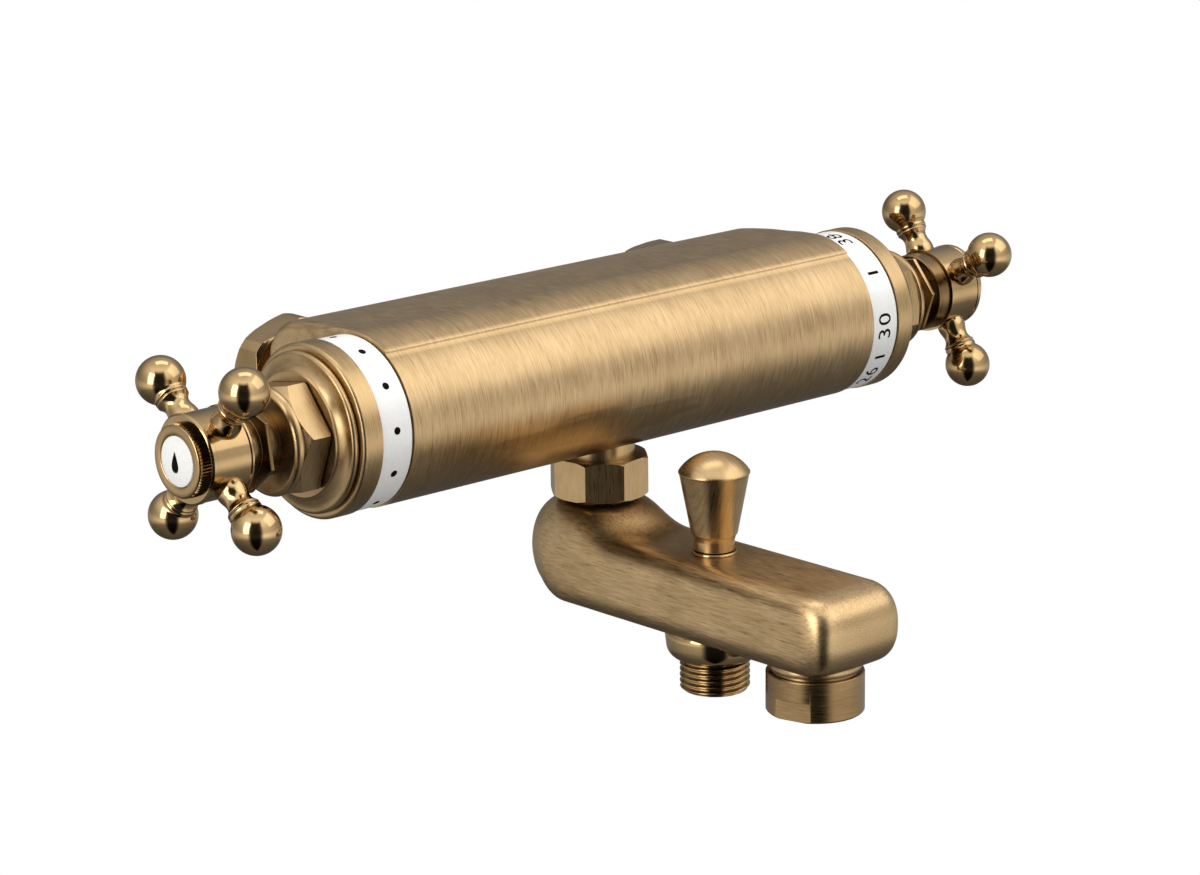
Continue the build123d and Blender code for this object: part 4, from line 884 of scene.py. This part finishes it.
def spout_point(s, turn):
    """Point of the skin at a turn round the middle of the section at s."""
    middle = BULB_MIDDLE + (ARM_MIDDLE - BULB_MIDDLE) * portion(s, 0.0, MIDDLE_SETTLES)
    near, far = 0.0, SEARCH_REACH
    for _ in range(HALVINGS):
        reach = (near + far) / 2
        if spout_depth(reach * math.cos(turn), s, middle + reach * math.sin(turn)) > 0:
            far = reach
        else:
            near = reach
    return near * math.cos(turn), AXIS_Y / MM - s, middle + near * math.sin(turn)


print("spout's front at y", round(AXIS_Y / MM - FRONT, 1))

# %% [markdown]
# The sections stand closer together towards both ends, where the skin turns quickly. The boss
# that the aerator screws into is turned and set under the front.

# %% Spout casting
SECTIONS, SPOUT_AROUND = 150, 96
END_SHARE = 0.99999     # the end sections keep a little width
AERATOR_Y = -151.2
BOSS_OUTLINE = [(71.0, 0), (71.0, 13.5), (73.4, 13.5), (73.6, 13.3), (73.6, 0)]

rear = -BULB_FLAT_R - BULB_REACH
half_length = (FRONT - rear) / 2
angles = [math.pi * i / SECTIONS for i in range(SECTIONS + 1)]
sections = [rear + half_length * (1 - math.cos(angle) * END_SHARE) for angle in angles]
spout_shape = bmesh.new()
skin(spout_shape, sections, SPOUT_AROUND, spout_point)
bmesh.ops.remove_doubles(spout_shape, verts=spout_shape.verts, dist=MERGE)
bmesh.ops.holes_fill(spout_shape, edges=spout_shape.edges, sides=0)
spout_shape.from_mesh(lathe("boss", BOSS_OUTLINE, (0, AERATOR_Y, 0), (0, 0, -1)))
bmesh.ops.recalc_face_normals(spout_shape, faces=spout_shape.faces)
spout_mesh = to_mesh(spout_shape, "spout_casting")
spout = new_object("spout_casting", spout_mesh, "spout", SPOUT_BRUSHED)
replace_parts(spout, "spout_body")
print("spout faces", len(spout_mesh.polygons))

# %% [markdown]
# Polished metal shows its surroundings, so the studio matters as much as the finish. Product
# photographers stand white tents at the sides and a black card by the camera. Real cards would
# need many lamps, so the sky itself is shaded: its light depends on the direction looked in.

# %% Studio light in each direction
CARD_AIM = (-0.674, -0.739, 0.0)
CARD_EDGES = (0.78, 0.94)       # cosines where the card starts and is full
CARD_BLACK = 0.02
TENT_EDGES = (0.66, 0.9)        # heights where the tent's top clears the card
FRONT_AIM = (-0.5, -0.86, 0.0)
BACK_GAIN, FRONT_GAIN = 0.48, 2.93
# Height of a direction, from straight down to straight up, and how bright it is there
BANDS = [(-1.0, 0.10), (-0.8, 0.10), (-0.5, 0.17), (-0.27, 0.66), (-0.12, 0.60), (0.0, 0.40),
         (0.26, 0.42), (0.70, 0.80), (0.85, 0.80), (1.0, 0.65)]


def studio_light(tree, heading):
    """Strength of the studio in a direction: bright tents at the sides and above, a black card
    by the camera, and a floor that falls dark beneath the mixer."""
    split = add_node(tree, "ShaderNodeSeparateXYZ", {"Vector": heading})
    height = add_node(
        tree, "ShaderNodeMapRange", {"Value": split.outputs["Z"], "From Min": -1.0, "From Max": 1.0}
    ).outputs[0]
    bands = add_node(
        tree, "ShaderNodeValToRGB", {"Fac": height}, stops=[((z + 1) / 2, grey(v)) for z, v in BANDS]
    ).outputs["Color"]
    front = add_node(
        tree, "ShaderNodeVectorMath", {0: heading, 1: FRONT_AIM}, operation="DOT_PRODUCT").outputs["Value"]
    front = add_node(
        tree, "ShaderNodeMapRange", {"Value": front, "From Min": -1.0, "From Max": 1.0,
                                     "To Min": BACK_GAIN, "To Max": FRONT_GAIN}
    ).outputs[0]
    level = add_node(tree, "ShaderNodeVectorMath", {0: heading, 1: (1, 1, 0)}, operation="MULTIPLY")
    level = add_node(tree, "ShaderNodeVectorMath", {0: level.outputs[0]}, operation="NORMALIZE")
    toward = add_node(
        tree, "ShaderNodeVectorMath", {0: level.outputs[0], 1: CARD_AIM}, operation="DOT_PRODUCT")
    card = add_node(
        tree, "ShaderNodeMapRange", {"Value": toward.outputs["Value"], "From Min": CARD_EDGES[0],
                                     "From Max": CARD_EDGES[1], "To Min": 1.0, "To Max": CARD_BLACK},
        interpolation_type="SMOOTHSTEP",
    ).outputs[0]
    above = add_node(
        tree, "ShaderNodeMapRange", {"Value": split.outputs["Z"], "From Min": TENT_EDGES[0],
                                     "From Max": TENT_EDGES[1]},
        interpolation_type="SMOOTHSTEP",
    ).outputs[0]
    card = add_node(tree, "ShaderNodeMath", {0: card, 1: above}, operation="MAXIMUM").outputs[0]
    gain = add_node(tree, "ShaderNodeMath", {0: front, 1: card}, operation="MULTIPLY").outputs[0]
    return add_node(tree, "ShaderNodeMath", {0: bands, 1: gain}, operation="MULTIPLY").outputs[0]


print("bands of light", len(BANDS))

# %% [markdown]
# The sky carries that light. A camera ray sees pure white instead, as behind a cut-out.

# %% Sky
world = bpy.data.worlds.new("studio")
bpy.context.scene.world = world
world.use_nodes = True
sky = world.node_tree
sky.nodes.clear()
heading = add_node(sky, "ShaderNodeTexCoord").outputs["Generated"]
seen = add_node(sky, "ShaderNodeBackground", {"Color": grey(1), "Strength": 1.0})
lit = add_node(sky, "ShaderNodeBackground", {"Color": grey(1), "Strength": studio_light(sky, heading)})
sky_path = add_node(sky, "ShaderNodeLightPath")
sky_mix = add_node(
    sky, "ShaderNodeMixShader",
    {0: sky_path.outputs["Is Camera Ray"], 1: lit.outputs[0], 2: seen.outputs[0]})
add_node(sky, "ShaderNodeOutputWorld", {"Surface": sky_mix.outputs[0]})
print("sky nodes", len(sky.nodes))

# %% [markdown]
# The floor is pale paper. A camera ray sees it pure white, as the photograph's background is. A
# mirrored ray sees the studio through it, and only what is left takes its grey.

# %% Floor
FLOOR_DROP, FLOOR_HALF = 0.06, 3.0
FLOOR_GREY = 0.35
floor_shape = bmesh.new()
bmesh.ops.create_grid(floor_shape, x_segments=1, y_segments=1, size=FLOOR_HALF)
floor_mesh = to_mesh(floor_shape, "floor")
floor = bpy.data.objects.new("floor", floor_mesh)
bpy.context.scene.collection.objects.link(floor)
floor.location = (0, 0, cad_low.z - FLOOR_DROP)
floor_material, floor_tree = new_material("studio_floor")
path = add_node(floor_tree, "ShaderNodeLightPath")
pale = add_node(floor_tree, "ShaderNodeBsdfDiffuse", {"Color": grey(FLOOR_GREY)})
white = add_node(floor_tree, "ShaderNodeEmission", {"Color": grey(1), "Strength": 1.0})
incoming = add_node(floor_tree, "ShaderNodeNewGeometry").outputs["Incoming"]
outward = add_node(
    floor_tree, "ShaderNodeVectorMath", {0: incoming, 1: (-1, -1, -1)}, operation="MULTIPLY").outputs[0]
mirrored = add_node(
    floor_tree, "ShaderNodeEmission", {"Color": grey(1), "Strength": studio_light(floor_tree, outward)})
floor_low = add_node(
    floor_tree, "ShaderNodeMixShader",
    {0: path.outputs["Is Glossy Ray"], 1: pale.outputs[0], 2: mirrored.outputs[0]})
floor_mix = add_node(
    floor_tree, "ShaderNodeMixShader",
    {0: path.outputs["Is Camera Ray"], 1: floor_low.outputs[0], 2: white.outputs[0]})
add_node(floor_tree, "ShaderNodeOutputMaterial", {"Surface": floor_mix.outputs[0]})
floor_mesh.materials.append(floor_material)
print("floor at", round(floor.location.z, 3))

# %% [markdown]
# Three weak soft lights add what the sky alone can't: a window of light on each curve. The key
# stands to the right, the fill to the left and the last above.

# %% Soft lights
CENTRE = (0, AXIS_Y, -0.02)
# Place, width, height and watts
LAMPS = {"right_key": ((0.75, -0.75, 0.85), 1.3, 1.0, 4),
         "left_fill": ((-1.15, -0.15, 0.35), 0.5, 0.9, 6),
         "top": ((0.1, 0.1, 1.1), 0.8, 0.4, 2)}
for name, (place, width, height, watts) in LAMPS.items():
    data = bpy.data.lights.new(name, "AREA")
    data.shape = "RECTANGLE"
    data.size, data.size_y = width, height
    data.energy = watts
    lamp = bpy.data.objects.new(name, data)
    bpy.context.scene.collection.objects.link(lamp)
    lamp.location = place
    lamp.rotation_euler = (Vector(CENTRE) - Vector(place)).to_track_quat("-Z", "Y").to_euler()
print("lights", len(LAMPS))

# %% [markdown]
# The camera is the photograph's own, found by fitting known points of the mixer to it. It is
# held as a target with an azimuth, an elevation, a roll and a distance.

# %% Camera and render
AZIMUTH, ELEVATION, ROLL = math.radians(-42.388), math.radians(14.852), math.radians(-0.637)
LENS, SENSOR = 120.86, 36.0
TARGET = Vector((0.00046, AXIS_Y, -0.02263))
DISTANCE = 1.2172
back = Vector((
    math.sin(AZIMUTH) * math.cos(ELEVATION), -math.cos(AZIMUTH) * math.cos(ELEVATION), math.sin(ELEVATION)))
level = (-back).cross(Vector((0, 0, 1))).normalized()
upright = level.cross(-back)
right = math.cos(ROLL) * level + math.sin(ROLL) * upright
up = -math.sin(ROLL) * level + math.cos(ROLL) * upright
camera_data = bpy.data.cameras.new("camera")
camera_data.lens = LENS
camera_data.sensor_width = SENSOR
camera = bpy.data.objects.new("camera", camera_data)
bpy.context.scene.collection.objects.link(camera)
turned = Matrix((right, up, back)).transposed().to_4x4()
camera.matrix_world = Matrix.Translation(TARGET + back * DISTANCE) @ turned
scene = bpy.context.scene
scene.camera = camera
scene.render.engine = "CYCLES"
scene.cycles.samples = 192
scene.cycles.use_denoising = True
scene.cycles.max_bounces = 5
scene.cycles.glossy_bounces = 2
scene.view_settings.view_transform = "Standard"
scene.render.resolution_x, scene.render.resolution_y = 1024, 747
print("camera at", [round(v, 3) for v in camera.location])
